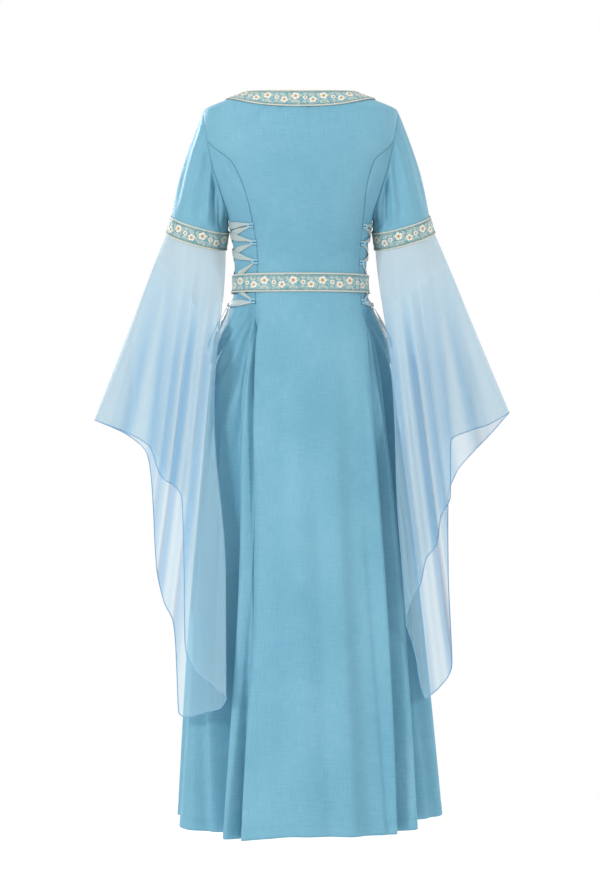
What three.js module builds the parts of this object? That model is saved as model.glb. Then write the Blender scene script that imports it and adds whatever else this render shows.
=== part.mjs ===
// A medieval dress in its worn, hollow form, in millimetres, +Z up.
// The origin lies between the shoulders at the height of the neckline. The front faces -Y,
// the back faces +Y, and +X is the wearer's left.
// Round the body an angle runs from 0 at the left side over 90 at the centre back to 180 at
// the right side and 270 at the centre front.

import * as THREE from "three";
import { mergeVertices } from "three/addons/utils/BufferGeometryUtils.js";

// ---- driving sizes -------------------------------------------------------------------------
const CLOTH_WALL = 2;
const CHIFFON_WALL = 1;
const TRIM_WALL = 1;
const RIBBON_WALL = 0.8;
const SEAM_GAP = 0.4; // between two panels at a seam
const LAY_GAP = 0.6; // between a panel and what lies on it
const TRIM_WIDTH = 33;

const NECK_HALF = 106; // neckline, side to side
const NECK_SIDE_Z = 5;
const NECK_BACK_Z = 2.6;
const NECK_FRONT_Z = -55;
const ARMHOLE_TOP_Z = -28;
const ARMHOLE_DEEP = 48; // from the shoulder line to the armhole's furthest point
const UNDERARM_Z = -228;
const JUNCTION_Z = -87; // where the princess seams run into the armhole
const BELT_TOP_Z = -331;
const WAIST_Z = -348;
const SKIRT_Z = -385; // folds begin
const HIP_Z = -459;
const KNEE_Z = -900;
const HEM_Z = -1335;

// The body's level sections: half width, depth behind and in front of the middle, squareness of
// the outline (2 is an ellipse), sideways shift of its middle, and how far the two back seams
// lie from that middle. The front seams are the same turned half a circle.
const SECTIONS = [
  { z: 20, half: 70, back: 58, front: 50, square: 2.3, shift: 0, left: 60, right: 60 },
  { z: 5, half: 106, back: 66, front: 58, square: 2.3, shift: 0, left: 100, right: 100 },
  { z: -8, half: 141, back: 74, front: 66, square: 2.3, shift: 0, left: 138, right: 138 },
  { z: -28, half: 180, back: 83, front: 78, square: 2.3, shift: 0, left: 176, right: 176 },
  { z: -60, half: 184, back: 91, front: 92, square: 2.3, shift: 0, left: 173, right: 174 },
  { z: -87, half: 185, back: 95, front: 103, square: 2.3, shift: 0, left: 169, right: 170 },
  { z: -128, half: 178, back: 98, front: 115, square: 2.3, shift: 0, left: 126, right: 134 },
  { z: -178, half: 157, back: 97, front: 123, square: 2.3, shift: 0, left: 103, right: 121 },
  { z: -228, half: 133, back: 93, front: 118, square: 2.3, shift: 0, left: 90, right: 116 },
  { z: -301, half: 122.5, back: 87, front: 97, square: 2.3, shift: 0, left: 79, right: 109 },
  { z: -348, half: 121, back: 86, front: 88, square: 2.3, shift: 0, left: 81, right: 108 },
  { z: -394, half: 133, back: 97, front: 92, square: 2.25, shift: 0, left: 85, right: 116 },
  { z: -459, half: 160, back: 117, front: 103, square: 2.15, shift: 0, left: 88, right: 128 },
  { z: -751, half: 193, back: 157, front: 136, square: 2.1, shift: -7, left: 95, right: 148 },
  { z: -1000, half: 217, back: 188, front: 162, square: 2.1, shift: -11, left: 104, right: 157 },
  { z: -1335, half: 243, back: 222, front: 196, square: 2.1, shift: -18, left: 137, right: 168 },
];

// Skirt folds: the angle each holds at the hip, knee and hem, its depth at the hem (a rib is
// negative) and its width in degrees.
const FOLDS = [
  { name: "left side trough", hip: 6, knee: 6, hem: 4, deep: 24, wide: 6 },
  { name: "left side rib", hip: 22, knee: 26, hem: 22, deep: -10, wide: 7 },
  { name: "left back trough", hip: 40, knee: 46, hem: 41, deep: 68, wide: 7 },
  { name: "left back rib", hip: 52, knee: 56, hem: 52, deep: -10, wide: 3.5 },
  { name: "left back crease", hip: 58, knee: 62, hem: 57, deep: 20, wide: 3 },
  { name: "back left hollow", hip: 80, knee: 80, hem: 79, deep: 9, wide: 7 },
  { name: "back right hollow", hip: 118, knee: 117, hem: 117, deep: 12, wide: 7 },
  { name: "right back crease", hip: 142, knee: 138, hem: 133, deep: 26, wide: 3.5 },
  { name: "right back rib", hip: 148, knee: 146, hem: 141, deep: -8, wide: 4 },
  { name: "right back trough", hip: 158, knee: 155, hem: 150, deep: 54, wide: 6 },
  { name: "right side rib", hip: 168, knee: 167, hem: 164, deep: -8, wide: 6 },
  { name: "right side trough", hip: 182, knee: 182, hem: 180, deep: 22, wide: 6 },
  { name: "right front trough", hip: 208, knee: 214, hem: 216, deep: 42, wide: 7 },
  { name: "right front rib", hip: 224, knee: 228, hem: 228, deep: -8, wide: 5 },
  { name: "right front crease", hip: 236, knee: 238, hem: 236, deep: 20, wide: 3.5 },
  { name: "front right hollow", hip: 256, knee: 256, hem: 256, deep: 10, wide: 7 },
  { name: "front left hollow", hip: 286, knee: 286, hem: 284, deep: 8, wide: 7 },
  { name: "left front crease", hip: 322, knee: 320, hem: 314, deep: 20, wide: 3.5 },
  { name: "left front rib", hip: 328, knee: 328, hem: 322, deep: -8, wide: 5 },
  { name: "left front trough", hip: 338, knee: 338, hem: 334, deep: 40, wide: 7 },
];

// How much of a fold's depth is there at each height, and the hem's height round the skirt.
const FOLD_GROWTH = [
  { z: -1335, share: 1 },
  { z: -1000, share: 0.72 },
  { z: -700, share: 0.45 },
  { z: -459, share: 0.16 },
  { z: -385, share: 0 },
];
const HEM = [
  { angle: 0, z: -1330 },
  { angle: 57, z: -1348 },
  { angle: 90, z: -1338 },
  { angle: 125, z: -1340 },
  { angle: 150, z: -1328 },
  { angle: 180, z: -1312 },
  { angle: 225, z: -1326 },
  { angle: 300, z: -1332 },
  { angle: 360, z: -1330 },
];

// Arm: how far it stands out to the side and forwards, and the rings of the trim round it.
const ARM_SPREAD = 15.8;
const ARM_FORWARD = 12;
const BAND_TOP = { x: 186, y: -8, z: -235, half: 54.5, depth: 50 };
const BAND_BOTTOM = { x: 193.5, y: -14.5, z: -266, half: 57, depth: 52 };

// Lower sleeves, in the left sleeve's own sense: "turn" runs round the arm from 0 at its outer
// line over the back to 0.5 at the body and on over the front, and x, z is the hem there.
const LEFT_HEM = [
  { turn: 0, x: 386, z: -597 },
  { turn: 0.05, x: 326, z: -620 },
  { turn: 0.09, x: 280, z: -646 },
  { turn: 0.13, x: 256, z: -701 },
  { turn: 0.17, x: 226, z: -722 },
  { turn: 0.2, x: 216, z: -740 },
  { turn: 0.25, x: 211, z: -872 },
  { turn: 0.3, x: 208, z: -1002 },
  { turn: 0.36, x: 193, z: -1044 },
  { turn: 0.43, x: 149, z: -1082 },
  { turn: 0.5, x: 132, z: -1094 },
  { turn: 0.54, x: 142, z: -1113 },
  { turn: 0.58, x: 180, z: -1128 },
  { turn: 0.62, x: 206, z: -1135 },
  { turn: 0.66, x: 220, z: -1129 },
  { turn: 0.7, x: 224, z: -1057 },
  { turn: 0.74, x: 227, z: -1006 },
  { turn: 0.78, x: 232, z: -964 },
  { turn: 0.81, x: 249, z: -931 },
  { turn: 0.84, x: 262, z: -885 },
  { turn: 0.88, x: 268, z: -830 },
  { turn: 0.92, x: 274, z: -735 },
  { turn: 0.95, x: 285, z: -664 },
  { turn: 0.98, x: 328, z: -624 },
  { turn: 1, x: 386, z: -597 },
];
const RIGHT_HEM = [
  { turn: 0, x: 391, z: -583 },
  { turn: 0.05, x: 348, z: -607 },
  { turn: 0.09, x: 316, z: -617 },
  { turn: 0.13, x: 278, z: -637 },
  { turn: 0.17, x: 277, z: -707 },
  { turn: 0.21, x: 276, z: -739 },
  { turn: 0.25, x: 256, z: -779 },
  { turn: 0.3, x: 250, z: -823 },
  { turn: 0.35, x: 228, z: -851 },
  { turn: 0.4, x: 217, z: -897 },
  { turn: 0.45, x: 198, z: -926 },
  { turn: 0.5, x: 190, z: -963 },
  { turn: 0.53, x: 195, z: -980 },
  { turn: 0.57, x: 202, z: -1000 },
  { turn: 0.61, x: 209, z: -1030 },
  { turn: 0.65, x: 218, z: -1080 },
  { turn: 0.68, x: 228, z: -1102 },
  { turn: 0.71, x: 254, z: -1084 },
  { turn: 0.74, x: 278, z: -1044 },
  { turn: 0.79, x: 272, z: -880 },
  { turn: 0.84, x: 273, z: -746 },
  { turn: 0.9, x: 290, z: -697 },
  { turn: 0.94, x: 328, z: -655 },
  { turn: 0.97, x: 357, z: -624 },
  { turn: 1, x: 391, z: -583 },
];
// How far back the middle between its two layers lies, at two heights.
const DRAPE_MIDDLE = [
  { x: 130, upper: 100, lower: 150 },
  { x: 190, upper: 84, lower: 135 },
  { x: 228, upper: 52, lower: 108 },
  { x: 255, upper: 20, lower: 82 },
  { x: 281, upper: -18, lower: 55 },
  { x: 315, upper: -80, lower: 20 },
  { x: 350, upper: -84, lower: 0 },
  { x: 391, upper: -80, lower: -10 },
];
const MIDDLE_Z = { none: -250, behind: -480, upper: -650, lower: -1050 };
// Half the room between the layers: at least this, and more at the wrist.
const HALF_GAP = { least: 9, wrist: 20, x: 322, wide: 45, edge: 12 };
// Hanging folds, which both layers share: where each lies at two heights, depth and width.
const DRAPE_FOLDS = [
  { top: 251, foot: 416, deep: 6, wide: 13 },
  { top: 231, foot: 325, deep: 7, wide: 11 },
  { top: 205, foot: 299, deep: 8, wide: 9 },
  { top: 177, foot: 267, deep: 8, wide: 9 },
  { top: 151, foot: 230, deep: 7, wide: 9 },
];
const DRAPE_FOLDS_Z = { top: -300, foot: -1000 };
const DRAPE_RIB = 5; // how far the cloth between the folds stands back
const SLEEVE_BOW = { x: 6, z: 4 }; // how far the upper sleeve's outer line bows
// How far the edge at the body bows outwards on its way down, on the left and on the right.
const LEFT_BELLY = 20;
const RIGHT_BELLY = 9;
const NEAR_CLEAR = 26; // the back layer and the front layer over the skirt they rest on
const FAR_CLEAR = 8;

// Lacing: the heights of its loops, and the ribbon.
const LACE_ROWS = [-243, -274, -309, -381];
const RIBBON_WIDTH = 10;
const RIBBON_PINCHED = 4.2;
const RIBBON_LAY = 0.9; // under the lower layer of crossed ribbon
const RIBBON_LAYER = 1.3; // from one layer to the next
const LOOP_HALF = 8.5;
const LOOP_RISE = 4.4;
const LOOP_WIDTH = 4;
const LOOP_WALL = 1;
const LOOP_IN = 3.4; // from the seam to the middle of a loop, in degrees
const LOOP_SHIFT = 2.6; // two strands pass a loop so far above and below its middle
const BELT_OVER_LACE = { angles: [8, 188], half: 42, out: 3.4 };

const COLOURS = {
  cloth: 0x7db9d0,
  chiffon: 0xa9c9e4,
  trim: 0x9dbfbf,
  ribbon: 0xc3cfce,
  loop: 0xa5cfe0,
};

// ---- small helpers ---------------------------------------------------------------------------
const radians = THREE.MathUtils.degToRad;
const clamp = THREE.MathUtils.clamp;
const point = (x, y, z) => new THREE.Vector3(x, y, z);

// A column of a table at a place between its rows, on a smooth curve that never overshoots.
function read(table, by, column, at) {
  const up = table[1][by] > table[0][by] ? 1 : -1;
  let k = 0;
  while (k < table.length - 2 && up * (at - table[k + 1][by]) > 0) k++;
  const slope = (i) =>
    i < 0 || i > table.length - 2
      ? 0
      : (table[i + 1][column] - table[i][column]) / (table[i + 1][by] - table[i][by]);
  const tangent = (i) => {
    const before = slope(i - 1);
    const after = slope(i);
    return before * after > 0 ? (2 * before * after) / (before + after) : 0;
  };
  const step = table[k + 1][by] - table[k][by];
  const t = clamp((at - table[k][by]) / step, 0, 1);
  const atEnd = (i) => (i === 0 ? slope(0) : i === table.length - 1 ? slope(i - 1) : tangent(i));
  return (
    table[k][column] * (1 + 2 * t) * (1 - t) ** 2 +
    table[k + 1][column] * (3 - 2 * t) * t * t +
    step * t * (1 - t) * (atEnd(k) * (1 - t) - atEnd(k + 1) * t)
  );
}

const sectionCache = new Map();
function section(z) {
  if (!sectionCache.has(z)) {
    const made = {};
    for (const column of ["half", "back", "front", "square", "shift", "left", "right"])
      made[column] = read(SECTIONS, "z", column, z);
    sectionCache.set(z, made);
  }
  return sectionCache.get(z);
}

// ---- the body's surface ----------------------------------------------------------------------
const apart = (a, b) => Math.abs(((((a - b) % 360) + 540) % 360) - 180);

function foldDepth(angle, z) {
  if (z >= SKIRT_Z) return 0;
  const share = read(FOLD_GROWTH, "z", "share", z);
  return FOLDS.reduce((sum, fold) => {
    const path = [
      { z: HIP_Z, angle: fold.hip },
      { z: KNEE_Z, angle: fold.knee },
      { z: HEM_Z, angle: fold.hem },
    ];
    const off = apart(angle, read(path, "z", "angle", z)) / fold.wide;
    return sum + fold.deep * share * Math.exp(-off * off);
  }, 0);
}

function bodyPoint(angle, z, out = 0) {
  const s = section(z);
  const c = Math.cos(radians(angle));
  const k = Math.sin(radians(angle));
  const power = 2 / s.square;
  const x = s.half * Math.sign(c) * Math.abs(c) ** power;
  const y = (k > 0 ? s.back : s.front) * Math.sign(k) * Math.abs(k) ** power;
  const reach = Math.hypot(x, y);
  const grow = (reach - foldDepth(angle, z)) / reach;
  const made = point(x * grow + s.shift, y * grow, z);
  return out ? made.addScaledVector(bodyNormal(angle, z), out) : made;
}

function bodyNormal(angle, z) {
  const turn = 0.4;
  const drop = 2;
  const along = bodyPoint(angle + turn, z).sub(bodyPoint(angle - turn, z));
  const down = bodyPoint(angle, z - drop).sub(bodyPoint(angle, z + drop));
  const normal = along.cross(down).normalize();
  return normal.dot(point(Math.cos(radians(angle)), Math.sin(radians(angle)), 0)) < 0
    ? normal.negate()
    : normal;
}

// The angle at which a section is so far from its middle, on the left half of the back.
function angleOf(distance, z) {
  const s = section(z);
  const share = clamp(distance / s.half, 0, 1);
  return THREE.MathUtils.radToDeg(Math.acos(share ** (s.square / 2)));
}

// The armhole is an upright oval on the body's surface; its angle off the side at a height.
function armholeAngle(z, front = false) {
  const middle = (ARMHOLE_TOP_Z + UNDERARM_Z) / 2;
  const share = clamp((z - middle) / (ARMHOLE_TOP_Z - middle), -1, 1);
  const y = ARMHOLE_DEEP * Math.sqrt(1 - share * share);
  const s = section(z);
  return THREE.MathUtils.radToDeg(Math.asin((y / (front ? s.front : s.back)) ** (s.square / 2)));
}
const seamAngle = (z, side) => angleOf(section(z)[side], z);
const hemZ = (angle) => read(HEM, "angle", "z", ((angle % 360) + 360) % 360);

// The shoulder and neck stretch as a smooth hill: its value is 0 on the surface.
function hill(p) {
  const s = section(p.z);
  const depth = p.y > 0 ? s.back : s.front;
  return (Math.abs(p.x) / s.half) ** s.square + (Math.abs(p.y) / depth) ** s.square - 1;
}
function hillNormal(p) {
  const step = 0.5;
  const slope = (dx, dy, dz) =>
    hill(point(p.x + dx, p.y + dy, p.z + dz)) - hill(point(p.x - dx, p.y - dy, p.z - dz));
  return point(slope(step, 0, 0), slope(0, step, 0), slope(0, 0, step)).divideScalar(2 * step);
}
function ontoHill(p) {
  for (let round = 0; round < 6; round++) {
    const slope = hillNormal(p);
    p.addScaledVector(slope, -hill(p) / slope.lengthSq());
  }
  return p;
}

// ---- closed walls ----------------------------------------------------------------------------
// A wall from a grid of outer points and their outward directions, as thick as it says.
function wall(rows, directions, thickness, closed) {
  const tall = rows.length;
  const wide = rows[0].length;
  const positions = [];
  for (const inward of [0, thickness])
    rows.forEach((row, j) =>
      row.forEach((p, i) => {
        const q = p.clone().addScaledVector(directions[j][i], -inward);
        positions.push(q.x, q.y, q.z);
      }),
    );
  const outer = (j, i) => j * wide + (i % wide);
  const inner = (j, i) => tall * wide + outer(j, i);
  const faces = [];
  const quad = (a, b, c, d) => faces.push(a, b, c, a, c, d);
  const across = closed ? wide : wide - 1;
  for (let j = 0; j < tall - 1; j++)
    for (let i = 0; i < across; i++) {
      quad(outer(j, i), outer(j + 1, i), outer(j + 1, i + 1), outer(j, i + 1));
      quad(inner(j, i), inner(j, i + 1), inner(j + 1, i + 1), inner(j + 1, i));
    }
  for (let i = 0; i < across; i++) {
    quad(outer(0, i), outer(0, i + 1), inner(0, i + 1), inner(0, i));
    quad(outer(tall - 1, i), inner(tall - 1, i), inner(tall - 1, i + 1), outer(tall - 1, i + 1));
  }
  if (!closed)
    for (let j = 0; j < tall - 1; j++) {
      quad(outer(j, 0), inner(j, 0), inner(j + 1, 0), outer(j + 1, 0));
      const e = wide - 1;
      quad(outer(j, e), outer(j + 1, e), inner(j + 1, e), inner(j, e));
    }
  return facingOut(positions, faces);
}

function facingOut(positions, faces) {
  const at = (i) => point(...positions.slice(3 * i, 3 * i + 3));
  let volume = 0;
  for (let f = 0; f < faces.length; f += 3)
    volume += at(faces[f]).dot(at(faces[f + 1]).cross(at(faces[f + 2])));
  if (volume < 0)
    for (let f = 0; f < faces.length; f += 3)
      [faces[f + 1], faces[f + 2]] = [faces[f + 2], faces[f + 1]];
  const geometry = new THREE.BufferGeometry();
  geometry.setAttribute("position", new THREE.Float32BufferAttribute(positions, 3));
  geometry.setIndex(faces);
  geometry.computeVertexNormals();
  return geometry;
}

// The outward directions of a tube's rings, from its own neighbours; "away" is out at turn 0.
function directionsOf(rings, away) {
  const tall = rings.length;
  const wide = rings[0].length;
  return rings.map((ring, j) => {
    const normals = ring.map((p, i) => {
      const next = ring[(i + 1) % wide].clone().sub(p).normalize();
      const along = p.clone().sub(ring[(i + wide - 1) % wide]).normalize().add(next);
      const lower = rings[clamp(j + 1, 0, tall - 1)][i];
      const down = lower.clone().sub(rings[clamp(j - 1, 0, tall - 1)][i]);
      return along.cross(down).normalize();
    });
    return normals[0].dot(away) < 0 ? normals.map((normal) => normal.negate()) : normals;
  });
}

const dress = new THREE.Group();
function add(name, geometry, colour, roughness) {
  const material = new THREE.MeshStandardMaterial({ color: colour, roughness, metalness: 0 });
  const mesh = new THREE.Mesh(geometry, material);
  mesh.name = name;
  dress.add(mesh);
}

// ---- body panels -----------------------------------------------------------------------------
const BELT_FOOT_Z = BELT_TOP_Z - TRIM_WIDTH;
const PANEL_LEVELS = [-87, -106, -128, -152, -178, -204, -228, -262, -298];
const SKIRT_LEVELS = [BELT_TOP_Z, WAIST_Z, BELT_FOOT_Z, -390, -422, HIP_Z];
const SKIRT_STEPS = 8;
const TOP_STEPS = 5;

// The heights of a panel's rows at one angle, from the princess junction down to the hem.
function levelsAt(angle) {
  const foot = hemZ(angle);
  const steps = Array.from(
    { length: SKIRT_STEPS },
    (_, k) => HIP_Z + ((foot - HIP_Z) * (k + 1)) / SKIRT_STEPS,
  );
  return [...PANEL_LEVELS, ...SKIRT_LEVELS, ...steps];
}
const ROW_COUNT = levelsAt(0).length;

// A panel between two angles that change with the height. Each row is read at its own height.
function panelGrid(fromAngle, toAngle, columns) {
  const rows = [];
  const directions = [];
  for (let j = 0; j < ROW_COUNT; j++) {
    const row = [];
    const out = [];
    for (let i = 0; i <= columns; i++) {
      const guess = levelsAt((fromAngle(HIP_Z) + toAngle(HIP_Z)) / 2)[j];
      const share = i / columns;
      let angle = fromAngle(guess) + (toAngle(guess) - fromAngle(guess)) * share;
      const z = levelsAt(angle)[j];
      angle = fromAngle(z) + (toAngle(z) - fromAngle(z)) * share;
      const trim = (SEAM_GAP / 2 / section(z).half) * (180 / Math.PI);
      angle += Math.sign(toAngle(z) - fromAngle(z)) * trim * (1 - 2 * share);
      row.push(bodyPoint(angle, z));
      out.push(bodyNormal(angle, z));
    }
    rows.push(row);
    directions.push(out);
  }
  return { rows, directions };
}

// The shoulder's ridge is where the section is just as wide as the place is far out.
function ridgeZ(distance) {
  let low = ARMHOLE_TOP_Z;
  let high = NECK_SIDE_Z;
  for (let round = 0; round < 30; round++) {
    const z = (low + high) / 2;
    if (section(z).half > distance) low = z;
    else high = z;
  }
  return low;
}

// The height of the neckline or of the shoulder's ridge at a distance from the middle.
function topZ(x, front) {
  const share = Math.abs(x) / NECK_HALF;
  if (share >= 1) return ridgeZ(Math.abs(x));
  return front
    ? NECK_SIDE_Z - (NECK_SIDE_Z - NECK_FRONT_Z) * (1 - share ** 2.2)
    : NECK_BACK_Z + (NECK_SIDE_Z - NECK_BACK_Z) * share * share;
}

// The centre back or centre front: a yoke of rows that fan up to neckline and shoulder, then
// the panel below it between the two princess seams.
function centrePanel(front, columns) {
  const sign = front ? -1 : 1;
  const side = front ? ["right", "left"] : ["left", "right"];
  const from = (z) => sign * seamAngle(z, side[0]);
  const to = (z) => sign * (180 - seamAngle(z, side[1]));
  const below = panelGrid(from, to, columns);
  const rows = [];
  const directions = [];
  for (let j = 0; j < TOP_STEPS; j++) {
    const row = [];
    const out = [];
    for (let i = 0; i <= columns; i++) {
      const foot = below.rows[0][i];
      const end = below.rows[0][foot.x * below.rows[0][0].x > 0 ? 0 : columns];
      const share = foot.x / Math.abs(end.x);
      const drop = (j / TOP_STEPS) ** 2;
      let z = JUNCTION_Z;
      let x = foot.x;
      for (let round = 0; round < 4; round++) {
        const level = Math.min(z, ARMHOLE_TOP_Z);
        x = share * (bodyPoint(armholeAngle(level, front), level).x - SEAM_GAP / 2);
        z = topZ(x, front) * (1 - drop) + foot.z * drop;
      }
      const s = section(z);
      const reach = clamp(1 - (Math.abs(x) / s.half) ** s.square, 0, 1) ** (1 / s.square);
      const y = sign * Math.max((front ? s.front : s.back) * reach, SEAM_GAP / 2);
      const p = point(x, y, z);
      const normal = hillNormal(p).normalize();
      row.push(p);
      out.push(normal);
    }
    rows.push(row);
    directions.push(out);
  }
  return wall([...rows, ...below.rows], [...directions, ...below.directions], CLOTH_WALL, false);
}

function sidePanel(fromAngle, toAngle, columns) {
  const made = panelGrid(fromAngle, toAngle, columns);
  return wall(made.rows, made.directions, CLOTH_WALL, false);
}

add("back_panel", centrePanel(false, 14), COLOURS.cloth, 0.75);
add("front_panel", centrePanel(true, 12), COLOURS.cloth, 0.75);
const SIDE_PANELS = {
  side_back_left: [(z) => armholeAngle(z), (z) => seamAngle(z, "left"), 13],
  side_back_right: [(z) => 180 - armholeAngle(z), (z) => 180 - seamAngle(z, "right"), 11],
  side_front_left: [(z) => -armholeAngle(z, true), (z) => -seamAngle(z, "right"), 9],
  side_front_right: [(z) => 180 + armholeAngle(z, true), (z) => 180 + seamAngle(z, "left"), 11],
};
for (const [name, [from, to, columns]] of Object.entries(SIDE_PANELS))
  add(name, sidePanel(from, to, columns), COLOURS.cloth, 0.75);

// ---- sleeves ---------------------------------------------------------------------------------
// The ring of the arm: "out" points away from the body, "behind" to the back and a little down.
const armAxis = point(
  Math.sin(radians(ARM_SPREAD)) * Math.cos(radians(ARM_FORWARD)),
  -Math.sin(radians(ARM_FORWARD)),
  -Math.cos(radians(ARM_SPREAD)) * Math.cos(radians(ARM_FORWARD)),
);
const armOut = point(Math.cos(radians(ARM_SPREAD)), 0, Math.sin(radians(ARM_SPREAD)));
const armBehind = armOut.clone().cross(armAxis).normalize();
if (armBehind.y < 0) armBehind.negate();

function ringPoint(ring, turn, out = 0) {
  const c = Math.cos(2 * Math.PI * turn);
  const k = Math.sin(2 * Math.PI * turn);
  return point(ring.x, ring.y, ring.z)
    .addScaledVector(armOut, (ring.half + out) * c)
    .addScaledVector(armBehind, (ring.depth + out) * k);
}
// The arm's ring at a share of the way down the band.
const mixRing = (t) =>
  Object.fromEntries(
    Object.entries(BAND_TOP).map(([key, top]) => [key, top + (BAND_BOTTOM[key] - top) * t]),
  );

// The armhole as a ring with the same turn: 0 at the shoulder, 0.25 at the back.
function armholePoint(turn) {
  const middle = (ARMHOLE_TOP_Z + UNDERARM_Z) / 2;
  const half = (ARMHOLE_TOP_Z - UNDERARM_Z) / 2;
  const z = middle + (half - SEAM_GAP) * Math.cos(2 * Math.PI * turn);
  const front = turn > 0.5;
  const angle = armholeAngle(z, front) * (front ? -1 : 1);
  return bodyPoint(angle, z).add(point(LAY_GAP, 0, 0));
}

const SLEEVE_TURNS = 20;
const SLEEVE_ROWS = 6;
const turns = (count) => Array.from({ length: count }, (_, i) => i / count);
const AWAY_FROM_ARM = point(1, 0, 0);

function upperSleeve() {
  const rows = [];
  for (let j = 0; j < SLEEVE_ROWS; j++) {
    const share = j / SLEEVE_ROWS;
    rows.push(
      turns(SLEEVE_TURNS).map((turn) => {
        const bow = point(SLEEVE_BOW.x, 0, SLEEVE_BOW.z).multiplyScalar(
          Math.sin(Math.PI * share) * Math.max(0, Math.cos(2 * Math.PI * turn)),
        );
        return armholePoint(turn).lerp(ringPoint(BAND_TOP, turn), share).add(bow);
      }),
    );
  }
  for (const t of [0, 1])
    rows.push(turns(SLEEVE_TURNS).map((turn) => ringPoint(mixRing(t), turn)));
  return wall(rows, directionsOf(rows, AWAY_FROM_ARM), CLOTH_WALL, true);
}

function armTrim() {
  const rows = [0.01, 0.99].map((t) =>
    turns(SLEEVE_TURNS).map((turn) => ringPoint(mixRing(t), turn, LAY_GAP + TRIM_WALL)),
  );
  return wall(rows, directionsOf(rows, AWAY_FROM_ARM), TRIM_WALL, true);
}

// How far back the skirt reaches at a place, with a margin to both sides of it.
const BACK_STEP = 2;
const MARGIN = 16;
const FALL_AWAY = 1.6; // how steeply the resting cloth leaves the skirt past that margin
function skirtBack(x, z, side) {
  let far = -Infinity;
  for (let angle = 0; angle <= 90; angle += BACK_STEP) {
    const p = bodyPoint(side > 0 ? angle : 180 - angle, z);
    const past = Math.max(0, Math.abs(p.x * side - x) - MARGIN);
    far = Math.max(far, p.y - FALL_AWAY * past);
  }
  return far;
}

// Both layers of the sleeve hang over the same places, so whatever moves one by its place moves
// the other too, and the wall never meets itself.
function drapeMiddle(x, z) {
  const share = (from, to) => clamp((from - z) / (from - to), 0, 1);
  const on = share(MIDDLE_Z.upper, MIDDLE_Z.lower);
  const upper = read(DRAPE_MIDDLE, "x", "upper", x);
  const lower = read(DRAPE_MIDDLE, "x", "lower", x);
  const off = (x - HALF_GAP.x) / HALF_GAP.wide;
  return {
    y: upper * share(MIDDLE_Z.none, upper > 0 ? MIDDLE_Z.behind : MIDDLE_Z.upper) + (lower - upper) * on,
    gap: HALF_GAP.least + HALF_GAP.wrist * Math.exp(-off * off) * (1 - on),
  };
}

function drapeFolds(x, z) {
  const t = (DRAPE_FOLDS_Z.top - z) / (DRAPE_FOLDS_Z.top - DRAPE_FOLDS_Z.foot);
  const deep = DRAPE_FOLDS.reduce((sum, fold) => {
    const off = (x - fold.top - (fold.foot - fold.top) * t) / fold.wide;
    return sum + fold.deep * Math.exp(-off * off);
  }, 0);
  return clamp(t * 3.5, 0, 1) * (DRAPE_RIB - deep);
}

const DRAPE_TURNS = 36;
const DRAPE_ROWS = 11;
function drapeSleeve(hem, side) {
  const belly = side > 0 ? LEFT_BELLY : RIGHT_BELLY;
  const [outer, inner] = [0, 0.5].map((turn) => read(hem, "turn", "x", turn));
  const start = mixRing(1 + (2 * SEAM_GAP) / TRIM_WIDTH);
  const rows = [];
  for (let j = 0; j <= DRAPE_ROWS; j++) {
    const v = (j / DRAPE_ROWS) ** 1.25;
    rows.push(
      turns(DRAPE_TURNS).map((turn) => {
        const foot = { x: read(hem, "turn", "x", turn), z: read(hem, "turn", "z", turn) };
        const p = ringPoint(start, turn);
        p.set(p.x + (foot.x - p.x) * v, p.y * (1 - v), p.z + (foot.z - p.z) * v);
        const atBody = Math.max(0, -Math.cos(2 * Math.PI * turn));
        p.x += belly * atBody * Math.sin(Math.PI * Math.min(1, v * 1.35)) ** 2;
        const layer = Math.sin(2 * Math.PI * turn);
        const middle = drapeMiddle(p.x, p.z);
        const fromEdge = Math.max(0, Math.min(outer - foot.x, foot.x - inner)) / HALF_GAP.edge;
        const open = middle.gap * Math.sign(layer) * Math.sqrt(Math.min(1, fromEdge));
        p.y += Math.min(1, v * 6) * (middle.y + open);
        const clear = FAR_CLEAR + (NEAR_CLEAR - FAR_CLEAR) * clamp(0.5 + 3 * layer, 0, 1);
        const above = 3 * Math.max(0, p.z - SKIRT_Z);
        const rest = skirtBack(p.x, Math.min(p.z, SKIRT_Z), side) - above;
        p.y = Math.max(p.y, rest + clear) + drapeFolds(p.x, p.z);
        return p;
      }),
    );
  }
  return wall(rows, directionsOf(rows, AWAY_FROM_ARM), CHIFFON_WALL, true);
}

// A piece made for the left side, as it is on the right.
function mirrored(geometry) {
  const made = geometry.clone();
  made.scale(-1, 1, 1);
  return facingOut([...made.getAttribute("position").array], [...made.index.array]);
}

const sleeve = upperSleeve();
const band = armTrim();
add("sleeve_upper_left", sleeve, COLOURS.cloth, 0.75);
add("sleeve_upper_right", mirrored(sleeve), COLOURS.cloth, 0.75);
add("arm_trim_left", band, COLOURS.trim, 0.6);
add("arm_trim_right", mirrored(band), COLOURS.trim, 0.6);
add("sleeve_drape_left", drapeSleeve(LEFT_HEM, 1), COLOURS.chiffon, 0.6);
add("sleeve_drape_right", mirrored(drapeSleeve(RIGHT_HEM, -1)), COLOURS.chiffon, 0.6);

// ---- neck trim and belt ------------------------------------------------------------------------
const NECK_TURNS = 56;
const NECK_ACROSS = 2;
const NECK_LAY = 0.9; // the yoke curves both ways under the neck trim
function neckPoint(turn) {
  const angle = 2 * Math.PI * turn;
  const power = 2 / SECTIONS[0].square;
  const x = NECK_HALF * Math.sign(Math.cos(angle)) * Math.abs(Math.cos(angle)) ** power;
  const front = Math.sin(angle) < 0;
  const z = topZ(x, front);
  const s = section(z);
  const reach = clamp(1 - (Math.abs(x) / s.half) ** s.square, 0, 1) ** (1 / s.square);
  return ontoHill(point(x, front ? -s.front * reach : s.back * reach, z));
}

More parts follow.
